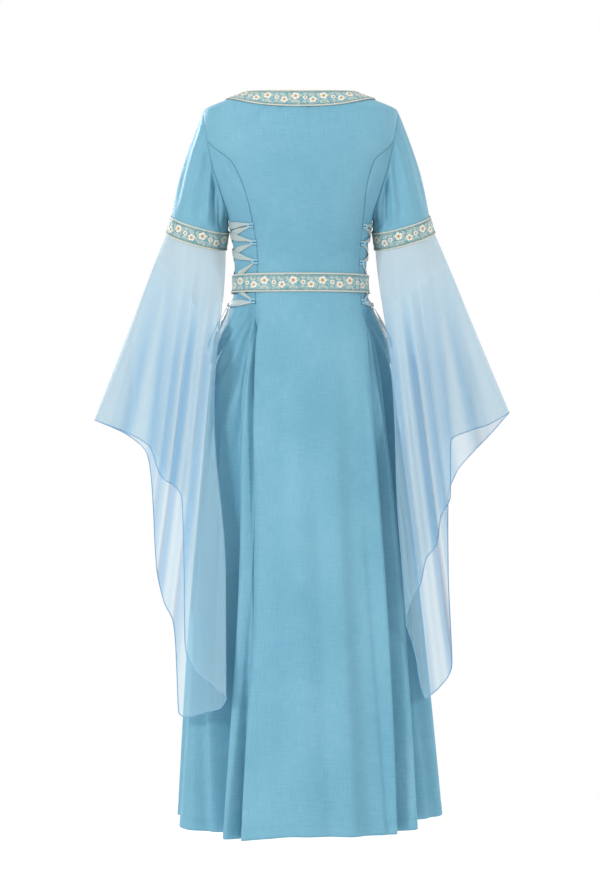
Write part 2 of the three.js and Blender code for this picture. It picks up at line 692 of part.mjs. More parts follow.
function neckTrim() {
  const rows = Array.from({ length: NECK_ACROSS + 1 }, () => []);
  const directions = Array.from({ length: NECK_ACROSS + 1 }, () => []);
  for (const turn of turns(NECK_TURNS)) {
    let p = neckPoint(turn);
    const along = neckPoint(turn + 0.004).sub(neckPoint(turn - 0.004)).normalize();
    for (let k = 0; k <= NECK_ACROSS; k++) {
      const normal = hillNormal(p).normalize();
      rows[k].push(p.clone().addScaledVector(normal, NECK_LAY + TRIM_WALL));
      directions[k].push(normal);
      const outward = normal.clone().cross(along).normalize();
      if (outward.dot(point(p.x, p.y, 0)) < 0) outward.negate();
      p = ontoHill(p.clone().addScaledVector(outward, TRIM_WIDTH / NECK_ACROSS));
    }
  }
  return wall(rows, directions, TRIM_WALL, true);
}
add("neck_trim", neckTrim(), COLOURS.trim, 0.6);

const BELT_TURNS = 48;
// The belt lies on the panels, and at each side on the crossed ribbon.
function beltOut(angle) {
  const near = Math.min(...BELT_OVER_LACE.angles.map((middle) => apart(angle, middle)));
  const share = Math.exp(-((near / BELT_OVER_LACE.half) ** 4));
  return LAY_GAP + TRIM_WALL + BELT_OVER_LACE.out * share;
}
function beltRing() {
  const levels = [BELT_TOP_Z, WAIST_Z, BELT_FOOT_Z];
  const rows = levels.map((z) =>
    turns(BELT_TURNS).map((turn) => bodyPoint(360 * turn, z, beltOut(360 * turn))),
  );
  const directions = levels.map((z) => turns(BELT_TURNS).map((turn) => bodyNormal(360 * turn, z)));
  return wall(rows, directions, TRIM_WALL, true);
}
add("belt", beltRing(), COLOURS.trim, 0.6);

// ---- lacing ------------------------------------------------------------------------------------
// A flat strip along a path of middle points, each with its outward direction and its width.
function strip(path, thickness) {
  const rows = [[], []];
  const directions = [[], []];
  path.forEach(({ at, out, width }, i) => {
    const before = path[Math.max(i - 1, 0)].at;
    const after = path[Math.min(i + 1, path.length - 1)].at;
    const across = after.clone().sub(before).cross(out).normalize();
    [-1, 1].forEach((side, k) => {
      rows[k].push(at.clone().addScaledVector(across, (side * width) / 2));
      directions[k].push(out);
    });
  });
  return wall(rows, directions, thickness, false);
}

// The two ends of each side's lacing: the angle of the back seam and of the front seam.
const LACED = {
  left: { back: (z) => seamAngle(z, "left"), front: (z) => -seamAngle(z, "right") },
  right: { back: (z) => 180 - seamAngle(z, "right"), front: (z) => 180 + seamAngle(z, "left") },
};

function laceLoop(angle, z) {
  const feet = [
    { drop: -1, rise: 0.12 },
    { drop: -0.72, rise: 0.8 },
    { drop: 0, rise: 1 },
    { drop: 0.72, rise: 0.8 },
    { drop: 1, rise: 0.12 },
  ];
  const rows = [[], []];
  const directions = [[], []];
  const along = bodyPoint(angle + 1, z).sub(bodyPoint(angle - 1, z)).normalize();
  const out = bodyNormal(angle, z);
  feet.forEach(({ drop, rise }, i) => {
    const before = feet[Math.max(i - 1, 0)];
    const after = feet[Math.min(i + 1, feet.length - 1)];
    const slope = point(0, 0, -(after.drop - before.drop) * LOOP_HALF).addScaledVector(
      out,
      (after.rise - before.rise) * LOOP_RISE,
    );
    const normal = slope.clone().cross(along).normalize();
    if (normal.dot(out) < 0) normal.negate();
    const level = z - drop * LOOP_HALF;
    const p = bodyPoint(angle, level, 2 * LAY_GAP + rise * LOOP_RISE);
    [-1, 1].forEach((side, k) => {
      rows[k].push(p.clone().addScaledVector(along, (side * LOOP_WIDTH) / 2));
      directions[k].push(normal);
    });
  });
  return wall(rows, directions, LOOP_WALL, false);
}

const STRAND_STEPS = 12;
function strand(from, to, firstLayer, lastLayer) {
  const path = Array.from({ length: STRAND_STEPS + 1 }, (_, i) => {
    const t = i / STRAND_STEPS;
    const angle = from.angle + (to.angle - from.angle) * t;
    const z = from.z + (to.z - from.z) * t;
    const layer = firstLayer + (lastLayer - firstLayer) * t;
    const open = Math.sin(Math.PI * t) ** 0.6;
    return {
      at: bodyPoint(angle, z, RIBBON_LAY + RIBBON_WALL + RIBBON_LAYER * layer),
      out: bodyNormal(angle, z),
      width: RIBBON_PINCHED + (RIBBON_WIDTH - RIBBON_PINCHED) * open,
    };
  });
  return strip(path, RIBBON_WALL);
}

for (const [side, seam] of Object.entries(LACED)) {
  const turn = side === "left" ? -1 : 1; // towards the side panel from the back seam
  const end = (which, row, shift) => {
    const z = LACE_ROWS[row];
    const inward = which === "back" ? turn * LOOP_IN : -turn * LOOP_IN;
    return { angle: seam[which](z) + inward, z: z + shift };
  };
  LACE_ROWS.forEach((_, row) => {
    for (const which of ["back", "front"]) {
      const { angle, z } = end(which, row, 0);
      add(`lace_loop_${which}_${side}_${row + 1}`, laceLoop(angle, z), COLOURS.loop, 0.7);
    }
  });
  const bar = strand(end("back", 0, LOOP_SHIFT), end("front", 0, LOOP_SHIFT), 1, 0);
  add(`lace_${side}_bar`, bar, COLOURS.ribbon, 0.35);
  for (let row = 0; row < LACE_ROWS.length - 1; row++) {
    const down = strand(end("back", row, -LOOP_SHIFT), end("front", row + 1, LOOP_SHIFT), 0, 0);
    const up = strand(end("front", row, -LOOP_SHIFT), end("back", row + 1, LOOP_SHIFT), 1, 1);
    add(`lace_${side}_down_${row + 1}`, down, COLOURS.ribbon, 0.35);
    add(`lace_${side}_up_${row + 1}`, up, COLOURS.ribbon, 0.35);
  }
}

// The ribbon's two ends are tied at the hip: a knot, a hanging bow and one free end.
const KNOT = { z: -385, lift: 3.6, along: 6, out: 3, tall: 4.5 };
const KNOT_ANGLE = { left: -4, right: 184 };
const BOW = { drop: 68, lift: 1.6, shut: 2.2, open: 9, width: 7, steps: 9, bendSteps: 4 };
const TAIL = { drop: 104, lift: 1.8, width: 7, steps: 12, aside: 5 };
const KNOT_CLEAR = 0.6;

function knot(angle) {
  const geometry = new THREE.SphereGeometry(1, 10, 6);
  const out = bodyNormal(angle, KNOT.z);
  const along = bodyPoint(angle + 1, KNOT.z).sub(bodyPoint(angle - 1, KNOT.z)).normalize();
  const up = along.clone().cross(out).normalize();
  const place = new THREE.Matrix4().makeBasis(
    along.multiplyScalar(KNOT.along),
    out.clone().multiplyScalar(KNOT.out),
    up.multiplyScalar(KNOT.tall),
  );
  geometry.applyMatrix4(place.setPosition(bodyPoint(angle, KNOT.z, KNOT.lift)));
  const merged = mergeVertices(geometry.deleteAttribute("normal").deleteAttribute("uv"), 1e-3);
  return facingOut([...merged.getAttribute("position").array], [...merged.index.array]);
}

// The path of a strip that hangs down the hip from the knot, by its drop, its lift off the cloth
// and how many degrees it stands aside. Each outward direction follows on from the one before.
function hangingPath(angle, stations, width) {
  const top = KNOT.z - KNOT.tall - KNOT_CLEAR;
  const path = stations.map(({ drop, lift, aside }) => ({
    at: bodyPoint(angle + aside, top - drop, lift),
    width,
  }));
  path.forEach((station, i) => {
    const before = path[Math.max(i - 1, 0)].at;
    const after = path[Math.min(i + 1, path.length - 1)].at;
    const out = point(0, 1, 0).cross(after.clone().sub(before)).normalize();
    const last = i === 0 ? bodyNormal(angle, top) : path[i - 1].out;
    station.out = out.dot(last) < 0 ? out.negate() : out;
  });
  return path;
}

function bow(angle) {
  const stations = [];
  for (let i = 0; i <= BOW.steps; i++) {
    const t = i / BOW.steps;
    stations.push({ drop: BOW.drop * t, lift: BOW.lift + RIBBON_WALL, aside: 0 });
  }
  for (let i = 1; i < BOW.bendSteps; i++) {
    const a = (Math.PI * i) / BOW.bendSteps;
    const lift = BOW.lift + RIBBON_WALL + (BOW.open / 2) * (1 - Math.cos(a));
    stations.push({ drop: BOW.drop + (BOW.open / 2) * Math.sin(a), lift, aside: 0 });
  }
  for (let i = 0; i <= BOW.steps; i++) {
    const t = 1 - i / BOW.steps;
    const lift = BOW.lift + RIBBON_WALL + BOW.shut + (BOW.open - BOW.shut) * t ** 0.5;
    stations.push({ drop: BOW.drop * t, lift, aside: 0 });
  }
  return strip(hangingPath(angle, stations, BOW.width), RIBBON_WALL);
}

function tail(angle, aside) {
  const stations = Array.from({ length: TAIL.steps + 1 }, (_, i) => {
    const t = i / TAIL.steps;
    return { drop: TAIL.drop * t, lift: TAIL.lift + RIBBON_WALL, aside: aside * (0.75 + 0.6 * t) };
  });
  return strip(hangingPath(angle, stations, TAIL.width), RIBBON_WALL);
}

for (const side of ["left", "right"]) {
  const angle = KNOT_ANGLE[side];
  const behind = side === "left" ? 1 : -1;
  const last = LACE_ROWS.length - 1;
  const knotHalf = THREE.MathUtils.radToDeg((KNOT.along + KNOT_CLEAR) / section(KNOT.z).half);
  for (const [which, layer] of [["back", 0], ["front", 1]]) {
    const seam = LACED[side][which](LACE_ROWS[last]);
    const toSide = which === "back" ? -behind : behind;
    const from = { angle: seam + toSide * LOOP_IN, z: LACE_ROWS[last] - LOOP_SHIFT };
    const to = { angle: angle - toSide * knotHalf, z: KNOT.z };
    add(`lace_${side}_tie_${which}`, strand(from, to, layer, 1), COLOURS.ribbon, 0.35);
  }
  add(`lace_knot_${side}`, knot(angle), COLOURS.ribbon, 0.35);
  add(`lace_bow_${side}`, bow(angle - behind * 2), COLOURS.ribbon, 0.35);
  add(`lace_tail_${side}`, tail(angle, behind * TAIL.aside), COLOURS.ribbon, 0.35);
}

export default dress;
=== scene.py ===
"""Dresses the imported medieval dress: woven cloth, chiffon sleeves, flowered bands and lacing.

Lengths are in millimetres until a mesh is made, and angles round the body are in degrees: 0 at
the left side, 90 at the centre back, 180 at the right side and 270 at the centre front.
"""

import logging
import math
from dataclasses import dataclass, field
from enum import Enum
from functools import partial
from typing import Callable, Iterable, Sequence

import bpy
import numpy as np
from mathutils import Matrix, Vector


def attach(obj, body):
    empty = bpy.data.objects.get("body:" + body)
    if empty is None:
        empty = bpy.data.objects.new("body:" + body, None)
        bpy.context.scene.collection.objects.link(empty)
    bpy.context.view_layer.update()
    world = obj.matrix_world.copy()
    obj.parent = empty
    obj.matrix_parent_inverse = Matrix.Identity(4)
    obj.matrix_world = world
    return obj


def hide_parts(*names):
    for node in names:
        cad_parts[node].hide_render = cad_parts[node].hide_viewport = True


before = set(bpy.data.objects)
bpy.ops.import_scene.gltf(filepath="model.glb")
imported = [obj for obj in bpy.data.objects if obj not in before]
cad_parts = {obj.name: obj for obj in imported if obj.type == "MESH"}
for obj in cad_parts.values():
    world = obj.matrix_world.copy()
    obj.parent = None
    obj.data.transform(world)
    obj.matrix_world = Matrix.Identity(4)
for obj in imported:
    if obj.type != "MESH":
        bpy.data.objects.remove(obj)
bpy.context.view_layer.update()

LOG = logging.getLogger("dress")
MM = 0.001

Array = np.ndarray
Edge = Callable[[Array], Array]


# ---- the dress's form ---------------------------------------------------------------------------
class Table:
    """Given rows, read between them on a smooth curve that never overshoots."""

    def __init__(self, keys: Sequence[float], values: Sequence[float]) -> None:
        """Keeps the rows in rising order of their keys.

        Args:
            keys: Where each row stands.
            values: What it says.
        """
        order = np.argsort(keys)
        self.keys = np.asarray(keys, float)[order]
        self.values = np.asarray(values, float)[order]
        slope = np.diff(self.values) / np.diff(self.keys)
        before, after = slope[:-1], slope[1:]
        same = before * after > 0
        inner = np.where(same, 2 * before * after / np.where(same, before + after, 1), 0)
        self.tangents = np.concatenate([slope[:1], inner, slope[-1:]])

    def __call__(self, at: Array) -> Array:
        """The curve at places, held level past its ends."""
        at = np.asarray(at, float)
        k = np.clip(np.searchsorted(self.keys, at) - 1, 0, len(self.keys) - 2)
        step = self.keys[k + 1] - self.keys[k]
        t = np.clip((at - self.keys[k]) / step, 0, 1)
        return (
            self.values[k] * (1 + 2 * t) * (1 - t) ** 2
            + self.values[k + 1] * (3 - 2 * t) * t * t
            + step * t * (1 - t) * (self.tangents[k] * (1 - t) - self.tangents[k + 1] * t)
        )


class Side(Enum):
    """The wearer's two sides, with the sign of X on each."""

    LEFT = 1
    RIGHT = -1

    @property
    def word(self) -> str:
        """The side's name as the nodes spell it."""
        return self.name.lower()

    @property
    def other(self) -> "Side":
        """The other side."""
        return Side(-self.value)


class Seam(Enum):
    """The two seams that a side's lacing draws together."""

    BACK = "back"
    FRONT = "front"

    @property
    def sign(self) -> int:
        """1 at the back, and -1 in front, where the side lies the other way."""
        return 1 if self is Seam.BACK else -1


# The body's level sections: a height, then the columns. Half, back and front are how far it
# reaches, square is how boxy it is and shift is how far left of the middle it lies. Left and right
# are how far out the seams lie behind, and in front they change sides.
SECTION_COLUMNS = ("half", "back", "front", "square", "shift", "left", "right")
SECTIONS = (
    (20, 70, 58, 50, 2.3, 0, 60, 60),
    (5, 106, 66, 58, 2.3, 0, 100, 100),
    (-8, 141, 74, 66, 2.3, 0, 138, 138),
    (-28, 180, 83, 78, 2.3, 0, 176, 176),
    (-60, 184, 91, 92, 2.3, 0, 173, 174),
    (-87, 185, 95, 103, 2.3, 0, 169, 170),
    (-128, 178, 98, 115, 2.3, 0, 126, 134),
    (-178, 157, 97, 123, 2.3, 0, 103, 121),
    (-228, 133, 93, 118, 2.3, 0, 90, 116),
    (-301, 122.5, 87, 97, 2.3, 0, 79, 109),
    (-348, 121, 86, 88, 2.3, 0, 81, 108),
    (-394, 133, 97, 92, 2.25, 0, 85, 116),
    (-459, 160, 117, 103, 2.15, 0, 88, 128),
    (-751, 193, 157, 136, 2.1, -7, 95, 148),
    (-1000, 217, 188, 162, 2.1, -11, 104, 157),
    (-1335, 243, 222, 196, 2.1, -18, 137, 168),
)
# A skirt fold's angle at hip, knee and hem, its depth at the hem and its width in degrees.
FOLDS = (
    (6, 6, 4, 24, 6),
    (22, 26, 22, -10, 7),
    (40, 46, 41, 68, 7),
    (52, 56, 52, -10, 3.5),
    (58, 62, 57, 20, 3),
    (80, 80, 79, 9, 7),
    (118, 117, 117, 12, 7),
    (142, 138, 133, 26, 3.5),
    (148, 146, 141, -8, 4),
    (158, 155, 150, 54, 6),
    (168, 167, 164, -8, 6),
    (182, 182, 180, 22, 6),
    (208, 214, 216, 42, 7),
    (224, 228, 228, -8, 5),
    (236, 238, 236, 20, 3.5),
    (256, 256, 256, 10, 7),
    (286, 286, 284, 8, 7),
    (322, 320, 314, 20, 3.5),
    (328, 328, 322, -8, 5),
    (338, 338, 334, 40, 7),
)
# How much of its depth at the hem a skirt fold has, by height.
FOLD_GROWTH = ((-1335, 1), (-1000, 0.72), (-700, 0.45), (-459, 0.16), (-385, 0))
# The hem's height, by angle.
HEM = (
    (0, -1330),
    (57, -1348),
    (90, -1338),
    (125, -1340),
    (150, -1328),
    (180, -1312),
    (225, -1326),
    (300, -1332),
    (360, -1330),
)
# A finer crease: its top and foot heights, its angle at each, its depth and its width in degrees.
CREASES = (
    # gathers that fan from the foot of each back seam
    (-372, -640, 51, 30, 10.2, 2.6),
    (-372, -700, 53, 38, 11.0, 2.0),
    (-374, -560, 49, 22, 7.6, 3.0),
    (-376, -520, 44, 14, 6.0, 3.2),
    (-372, -760, 56, 50, 8.5, 1.7),
    (-374, -620, 150, 158, 10.2, 2.2),
    (-374, -560, 152, 166, 8.5, 2.6),
    (-376, -520, 156, 174, 6.0, 3.0),
    (-372, -700, 147, 148, 9.3, 1.9),
    (-372, -660, 47, 47, 9, 3.8),
    (-400, -620, 56.5, 61, 9, 1.4),
    # and in front
    (-374, -640, 207, 214, 9.3, 2.4),
    (-374, -560, 205, 198, 7.6, 2.6),
    (-372, -680, 228, 232, 8.5, 2.0),
    (-374, -620, 330, 322, 9.3, 2.4),
    (-374, -560, 333, 342, 7.6, 2.6),
    (-372, -700, 326, 316, 8.5, 2.0),
    # long soft troughs and ribs down to the hem
    (-380, -940, 57.2, 61.8, 10, 1.5),
    (-860, -1360, 61.6, 57.4, 10, 1.6),
    (-380, -900, 51.5, 50, 9, 1.6),
    (-440, -1360, 160, 150.5, 10, 1.7),
    (-470, -1360, 14, 13, 9.1, 2.6),
    (-520, -1360, 30, 32, 11.7, 2.4),
    (-600, -1360, 35, 36.5, -6.5, 2.2),
    (-560, -1360, 48, 47, 7.8, 1.7),
    (-430, -1360, 60.5, 62, -7.8, 2.2),
    (-520, -1360, 68, 69, 5.2, 3.2),
    (-480, -1360, 87, 88, -4.5, 4.5),
    (-640, -1360, 95, 98, 6.5, 3.6),
    (-560, -1360, 106, 107, -5.2, 4.0),
    (-700, -1360, 124, 126, 7.2, 2.6),
    (-450, -1360, 133, 129, -6.5, 2.4),
    (-520, -1360, 163, 159, 7.8, 2.0),
    (-480, -1360, 174, 172, 7.8, 2.6),
    (-560, -1360, 190, 190, -6.5, 3.0),
    (-480, -1360, 197, 201, 10.4, 2.6),
    (-600, -1360, 218, 222, 7.8, 2.4),
    (-520, -1360, 244, 246, 6.5, 3.2),
    (-560, -1360, 266, 267, -4.5, 4.5),
    (-640, -1360, 275, 273, 5.9, 3.6),
    (-520, -1360, 300, 298, 6.5, 3.4),
    (-560, -1360, 310, 306, -5.2, 2.8),
    (-480, -1360, 346, 345, 7.8, 2.4),
    (-560, -1360, 354, 354, -6.5, 3.0),
)
# A drag line on the bodice: from x, z to x, z, its width, its depth, and 1 behind or -1 in front.
DRAG_LINES = (
    (70, -46, 138, -84, 11, 1.5, 1),
    (-64, -44, -140, -88, 12, 1.6, 1),
    (142, -122, 92, -190, 9, 1.8, 1),
    (-140, -124, -104, -196, 9, 1.6, 1),
    (128, -150, 84, -222, 7, -1.0, 1),
    (40, -292, -34, -312, 9, 1.0, 1),
    (70, -300, 22, -318, 6, 1.2, 1),
    (-98, -282, -52, -306, 7, 1.2, 1),
    (18, -96, -30, -150, 22, 1.2, 1),
    (37, -22, 25, -54, 5, 1.5, 1),
    (8, -22, 9, -46, 4, -0.8, 1),
    (-14, -22, -24, -52, 5, 1.4, 1),
    (60, -20, 76, -48, 6, 1.0, 1),
    (130, -88, 72, -112, 11, 1.8, -1),
    (-132, -90, -70, -116, 11, 1.7, -1),
    (104, -200, 62, -262, 9, 1.8, -1),
    (-112, -196, -70, -258, 9, 1.7, -1),
    (30, -296, -42, -314, 9, 1.0, -1),
)
SKIRT_Z = -385.0
HIP_Z = -459.0
KNEE_Z = -900.0
HEM_Z = -1335.0
NECK_HALF = 106.0
NECK_SIDE_Z = 5.0
NECK_BACK_Z = 2.6
NECK_FRONT_Z = -55.0
NECK_SQUARE = 2.3
NECK_SCOOP = 2.2
ARMHOLE_TOP_Z = -28.0
ARMHOLE_DEEP = 48.0
UNDERARM_Z = -228.0
JUNCTION_Z = -87.0
BELT_TOP_Z = -331.0
TRIM_WIDTH = 33.0
BELT_FOOT_Z = BELT_TOP_Z - TRIM_WIDTH


def apart(a: Array, b: Array) -> Array:
    """The angle between two angles, from 0 to 180 degrees."""
    return np.abs((np.asarray(a, float) - b + 540) % 360 - 180)


def unit(vectors: Array) -> Array:
    """The vectors, each a unit long."""
    return vectors / np.maximum(np.linalg.norm(vectors, axis=-1, keepdims=True), 1e-9)


def smooth(t: Array) -> Array:
    """An even ease from 0 to 1, level at both ends."""
    t = np.clip(t, 0, 1)
    return t * t * (3 - 2 * t)


class DressForm:
    """The worn body of the dress: its level sections, folds, creases and drag lines.

    A crease comes in over its top and goes out at its foot. One that runs to the hem has its least
    depth at its top instead, and each narrows on its way down. A drag line runs on a little past
    both its ends.
    """

    crease_in, crease_out = 4.5, 1.8
    crease_least = 0.45
    crease_wide, crease_narrows = 1.15, 0.25
    drag_past, drag_fade = 0.25, 2.2
    halvings = 30
    hill_steps = 6

    def __init__(self) -> None:
        """Reads the tables."""
        heights = [row[0] for row in SECTIONS]
        self.columns = {
            name: Table(heights, [row[k + 1] for row in SECTIONS])
            for k, name in enumerate(SECTION_COLUMNS)
        }
        self.growth = Table(*zip(*FOLD_GROWTH))
        self.hem_curve = Table(*zip(*HEM))
        heights = (HIP_Z, KNEE_Z, HEM_Z)
        self.paths = [Table(heights, row[:3]) for row in FOLDS]

    def column(self, name: str, z: Array) -> Array:
        """One column of the sections at heights."""
        return self.columns[name](z)

    def hem(self, angle: Array) -> Array:
        """The hem's height at angles."""
        return self.hem_curve(np.asarray(angle, float) % 360)

    def fold_depth(self, angle: Array, z: Array) -> Array:
        """How far folds and creases take the skirt inwards.

        Args:
            angle: Angles round the body.
            z: Heights.

        Returns:
            The depth at each, where a rib is negative.
        """
        share = np.where(z < SKIRT_Z, self.growth(z), 0)
        depth = np.zeros(np.broadcast(angle, z).shape)
        for path, (_, _, _, deep, wide) in zip(self.paths, FOLDS):
            depth = depth + deep * share * np.exp(-((apart(angle, path(z)) / wide) ** 2))
        for top, foot, at_top, at_foot, deep, wide in CREASES:
            t = (z - top) / (foot - top)
            to_hem = foot < HEM_Z
            deepens = self.crease_least + (1 - self.crease_least) * t
            fades = smooth((1 - t) * self.crease_out)
            envelope = smooth(t * self.crease_in) * (deepens if to_hem else fades)
            middle = at_top + (at_foot - at_top) * t
            width = wide * (self.crease_wide - self.crease_narrows * np.clip(t, 0, 1))
            ridge = np.exp(-((apart(angle, middle) / width) ** 2))
            depth = depth + np.where((t > 0) & (t < 1), deep * envelope, 0) * ridge
        return depth

    def drag(self, x: Array, z: Array, side: Array) -> Array:
        """How far the bodice's drag lines take the cloth inwards.

        Args:
            x: Places across.
            z: Heights.
            side: 1 behind and -1 in front, at each.

        Returns:
            The depth at each.
        """
        depth = np.zeros(np.broadcast(x, z).shape)
        for x0, z0, x1, z1, wide, deep, where in DRAG_LINES:
            span = np.hypot(x1 - x0, z1 - z0)
            along = ((x - x0) * (x1 - x0) + (z - z0) * (z1 - z0)) / span**2
            off = ((x - x0) * (z1 - z0) - (z - z0) * (x1 - x0)) / span
            from_start, from_end = along + self.drag_past, 1 + self.drag_past - along
            ends = smooth(from_start * self.drag_fade) * smooth(from_end * self.drag_fade)
            line = deep * ends * np.exp(-((off / wide) ** 2))
            depth = depth + np.where(side == where, line, 0)
        return depth

    def flat_point(self, angle: Array, z: Array) -> Array:
        """The surface at angles and heights, on its own level."""
        c, k = np.cos(np.radians(angle)), np.sin(np.radians(angle))
        power = 2 / self.column("square", z)
        x = self.column("half", z) * np.sign(c) * np.abs(c) ** power
        depth = np.where(k > 0, self.column("back", z), self.column("front", z))
        y = depth * np.sign(k) * np.abs(k) ** power
        reach = np.hypot(x, y)
        grow = (reach - self.fold_depth(angle, z)) / reach
        side = np.where(k > 0, 1, -1)
        y = y * grow - side * self.drag(x, z, side) * smooth(np.abs(k) * 2)
        x = x * grow + self.column("shift", z)
        return np.stack([x, y, np.broadcast_to(z, x.shape)], -1)

    def normal(self, angle: Array, z: Array) -> Array:
        """The outward direction of the surface."""
        along = self.flat_point(angle + 0.3, z) - self.flat_point(angle - 0.3, z)
        down = self.flat_point(angle, z - 2) - self.flat_point(angle, z + 2)
        made = unit(np.cross(along, down))
        level = np.stack([np.cos(np.radians(angle)), np.sin(np.radians(angle)), 0 * angle], -1)
        return made * np.sign(np.sum(made * level, -1, keepdims=True))

    def point(self, angle: Array, z: Array, out: Array = 0) -> Array:
        """The surface moved outwards by so many millimetres."""
        angle, z, out = (np.asarray(a, float) for a in np.broadcast_arrays(angle, z, out))
        return self.flat_point(angle, z) + self.normal(angle, z) * out[..., None]

    def seam(self, z: Array, column: str) -> Array:
        """The angle off the side at which a princess seam lies."""
        share = np.clip(self.column(column, z) / self.column("half", z), 0, 1)
        return np.degrees(np.arccos(share ** (self.column("square", z) / 2)))

    def armhole(self, z: Array, front: bool = False) -> Array:
        """The angle off the side of the armhole's oval edge."""
        middle = (ARMHOLE_TOP_Z + UNDERARM_Z) / 2
        share = np.clip((z - middle) / (ARMHOLE_TOP_Z - middle), -1, 1)
        y = ARMHOLE_DEEP * np.sqrt(1 - share**2)
        depth = self.column("front" if front else "back", z)
        return np.degrees(np.arcsin((y / depth) ** (self.column("square", z) / 2)))

    def ridge(self, distance: Array) -> Array:
        """The shoulder ridge's height at distances from the middle."""
        low = np.full(np.shape(distance), ARMHOLE_TOP_Z)
        high = np.full(np.shape(distance), NECK_SIDE_Z)
        for _ in range(self.halvings):
            z = (low + high) / 2
            wider = self.column("half", z) > distance
            low, high = np.where(wider, z, low), np.where(wider, high, z)
        return low

    def top(self, x: Array, front: bool) -> Array:
        """The neckline's or the ridge's height at distances from the middle."""
        share = np.abs(x) / NECK_HALF
        scoop = 1 - np.minimum(share, 1) ** NECK_SCOOP
        deep = NECK_SIDE_Z - (NECK_SIDE_Z - NECK_FRONT_Z) * scoop
        shallow = NECK_BACK_Z + (NECK_SIDE_Z - NECK_BACK_Z) * share**2
        return np.where(share >= 1, self.ridge(np.abs(x)), deep if front else shallow)

    def reach(self, x: Array, z: Array, front: bool) -> Array:
        """How far behind or in front of the middle the surface lies."""
        square = self.column("square", z)
        share = np.clip(1 - (np.abs(x) / self.column("half", z)) ** square, 0, 1) ** (1 / square)
        return self.column("front" if front else "back", z) * share

    def hill(self, p: Array) -> Array:
        """Shoulder and neck as a smooth hill: 0 on the surface."""
        z = p[..., 2]
        square = self.column("square", z)
        depth = np.where(p[..., 1] > 0, self.column("back", z), self.column("front", z))
        wide = (np.abs(p[..., 0]) / self.column("half", z)) ** square
        return wide + (np.abs(p[..., 1]) / depth) ** square - 1

    def hill_slope(self, p: Array) -> Array:
        """The hill's slope, which points outwards."""
        step = 0.5 * np.eye(3)
        return np.stack([self.hill(p + s) - self.hill(p - s) for s in step], -1)

    def onto_hill(self, p: Array) -> Array:
        """The points, moved onto the hill's surface."""
        for _ in range(self.hill_steps):
            slope = self.hill_slope(p)
            p = p - slope * (self.hill(p) / np.maximum(np.sum(slope**2, -1), 1e-12))[..., None]
        return p


FORM = DressForm()


# ---- mesh helpers -------------------------------------------------------------------------------
@dataclass
class MeshData:
    """Corners, faces and a place in the cloth for each face corner, with one tint a corner."""

    points: Array
    faces: Array
    uv: Array
    tint: Array | None = None


def joined(parts: Iterable[MeshData]) -> MeshData:
    """Several meshes as one."""
    parts = list(parts)
    starts = np.cumsum([0] + [len(part.points) for part in parts[:-1]])
    tinted = all(part.tint is not None for part in parts)
    return MeshData(
        np.concatenate([part.points for part in parts]),
        np.concatenate([part.faces + start for part, start in zip(parts, starts)]),
        np.concatenate([part.uv for part in parts]),
        np.concatenate([part.tint for part in parts]) if tinted else None,
    )


def grid_normals(points: Array, closed: bool, away: Array) -> Array:
    """The directions out of a grid.

    Args:
        points: The grid, rows by columns by 3.
        closed: Whether its last column meets its first.
        away: A rough outward direction for each point.

    Returns:
        A unit direction for each point.
    """
    if closed:
        along = np.roll(points, -1, 1) - np.roll(points, 1, 1)
    else:
        along = np.gradient(points, axis=1)
    made = unit(np.cross(along, np.gradient(points, axis=0)))
    return made * np.where(np.sum(made * away, -1, keepdims=True) < 0, -1, 1)


def cloth_places(points: Array, closed: bool) -> Array:
    """The grid's places in its cloth, in metres along and down it."""
    wide = np.concatenate([points, points[:, :1]], 1) if closed else points
    across = np.linalg.norm(np.diff(wide, axis=1), axis=-1).mean(0)
    down = np.linalg.norm(np.diff(wide, axis=0), axis=-1).mean(1)
    u = np.concatenate([[0], np.cumsum(across)]) * MM
    v = np.concatenate([[0], np.cumsum(down)]) * MM
    return np.stack(np.meshgrid(u, -v), -1)


def quads_of(tall: int, wide: int, closed: bool) -> tuple[Array, Array]:
    """The faces of a grid and of its places in the cloth, wound the same way."""
    j, i = np.meshgrid(np.arange(tall - 1), np.arange(wide if closed else wide - 1), indexing="ij")
    after = (i + 1) % wide
    corners = [j * wide + i, (j + 1) * wide + i, (j + 1) * wide + after, j * wide + after]
    span = wide + 1 if closed else wide
    places = [j * span + i, (j + 1) * span + i, (j + 1) * span + i + 1, j * span + i + 1]
    return np.stack(corners, -1).reshape(-1, 4), np.stack(places, -1).reshape(-1, 4)


def turned_out(points: Array, faces: Array, away: Array) -> bool:
    """Whether most faces look away, where away has a direction for each point."""
    a, b, c = (points[faces[:, k]] for k in range(3))
    normal = np.cross(b - a, c - a)
    return float(np.sum(normal * away[faces[:, 0]])) > 0


def sheet_of(points: Array, away: Array, closed: bool) -> MeshData:
    """An open sheet from a grid, its faces looking away."""
    tall, wide = points.shape[:2]
    faces, places = quads_of(tall, wide, closed)
    uv = cloth_places(points, closed).reshape(-1, 2)
    flat = points.reshape(-1, 3)
    if not turned_out(flat, faces, away.reshape(-1, 3)):
        faces, places = faces[:, ::-1], places[:, ::-1]
    return MeshData(flat, faces, uv[places])


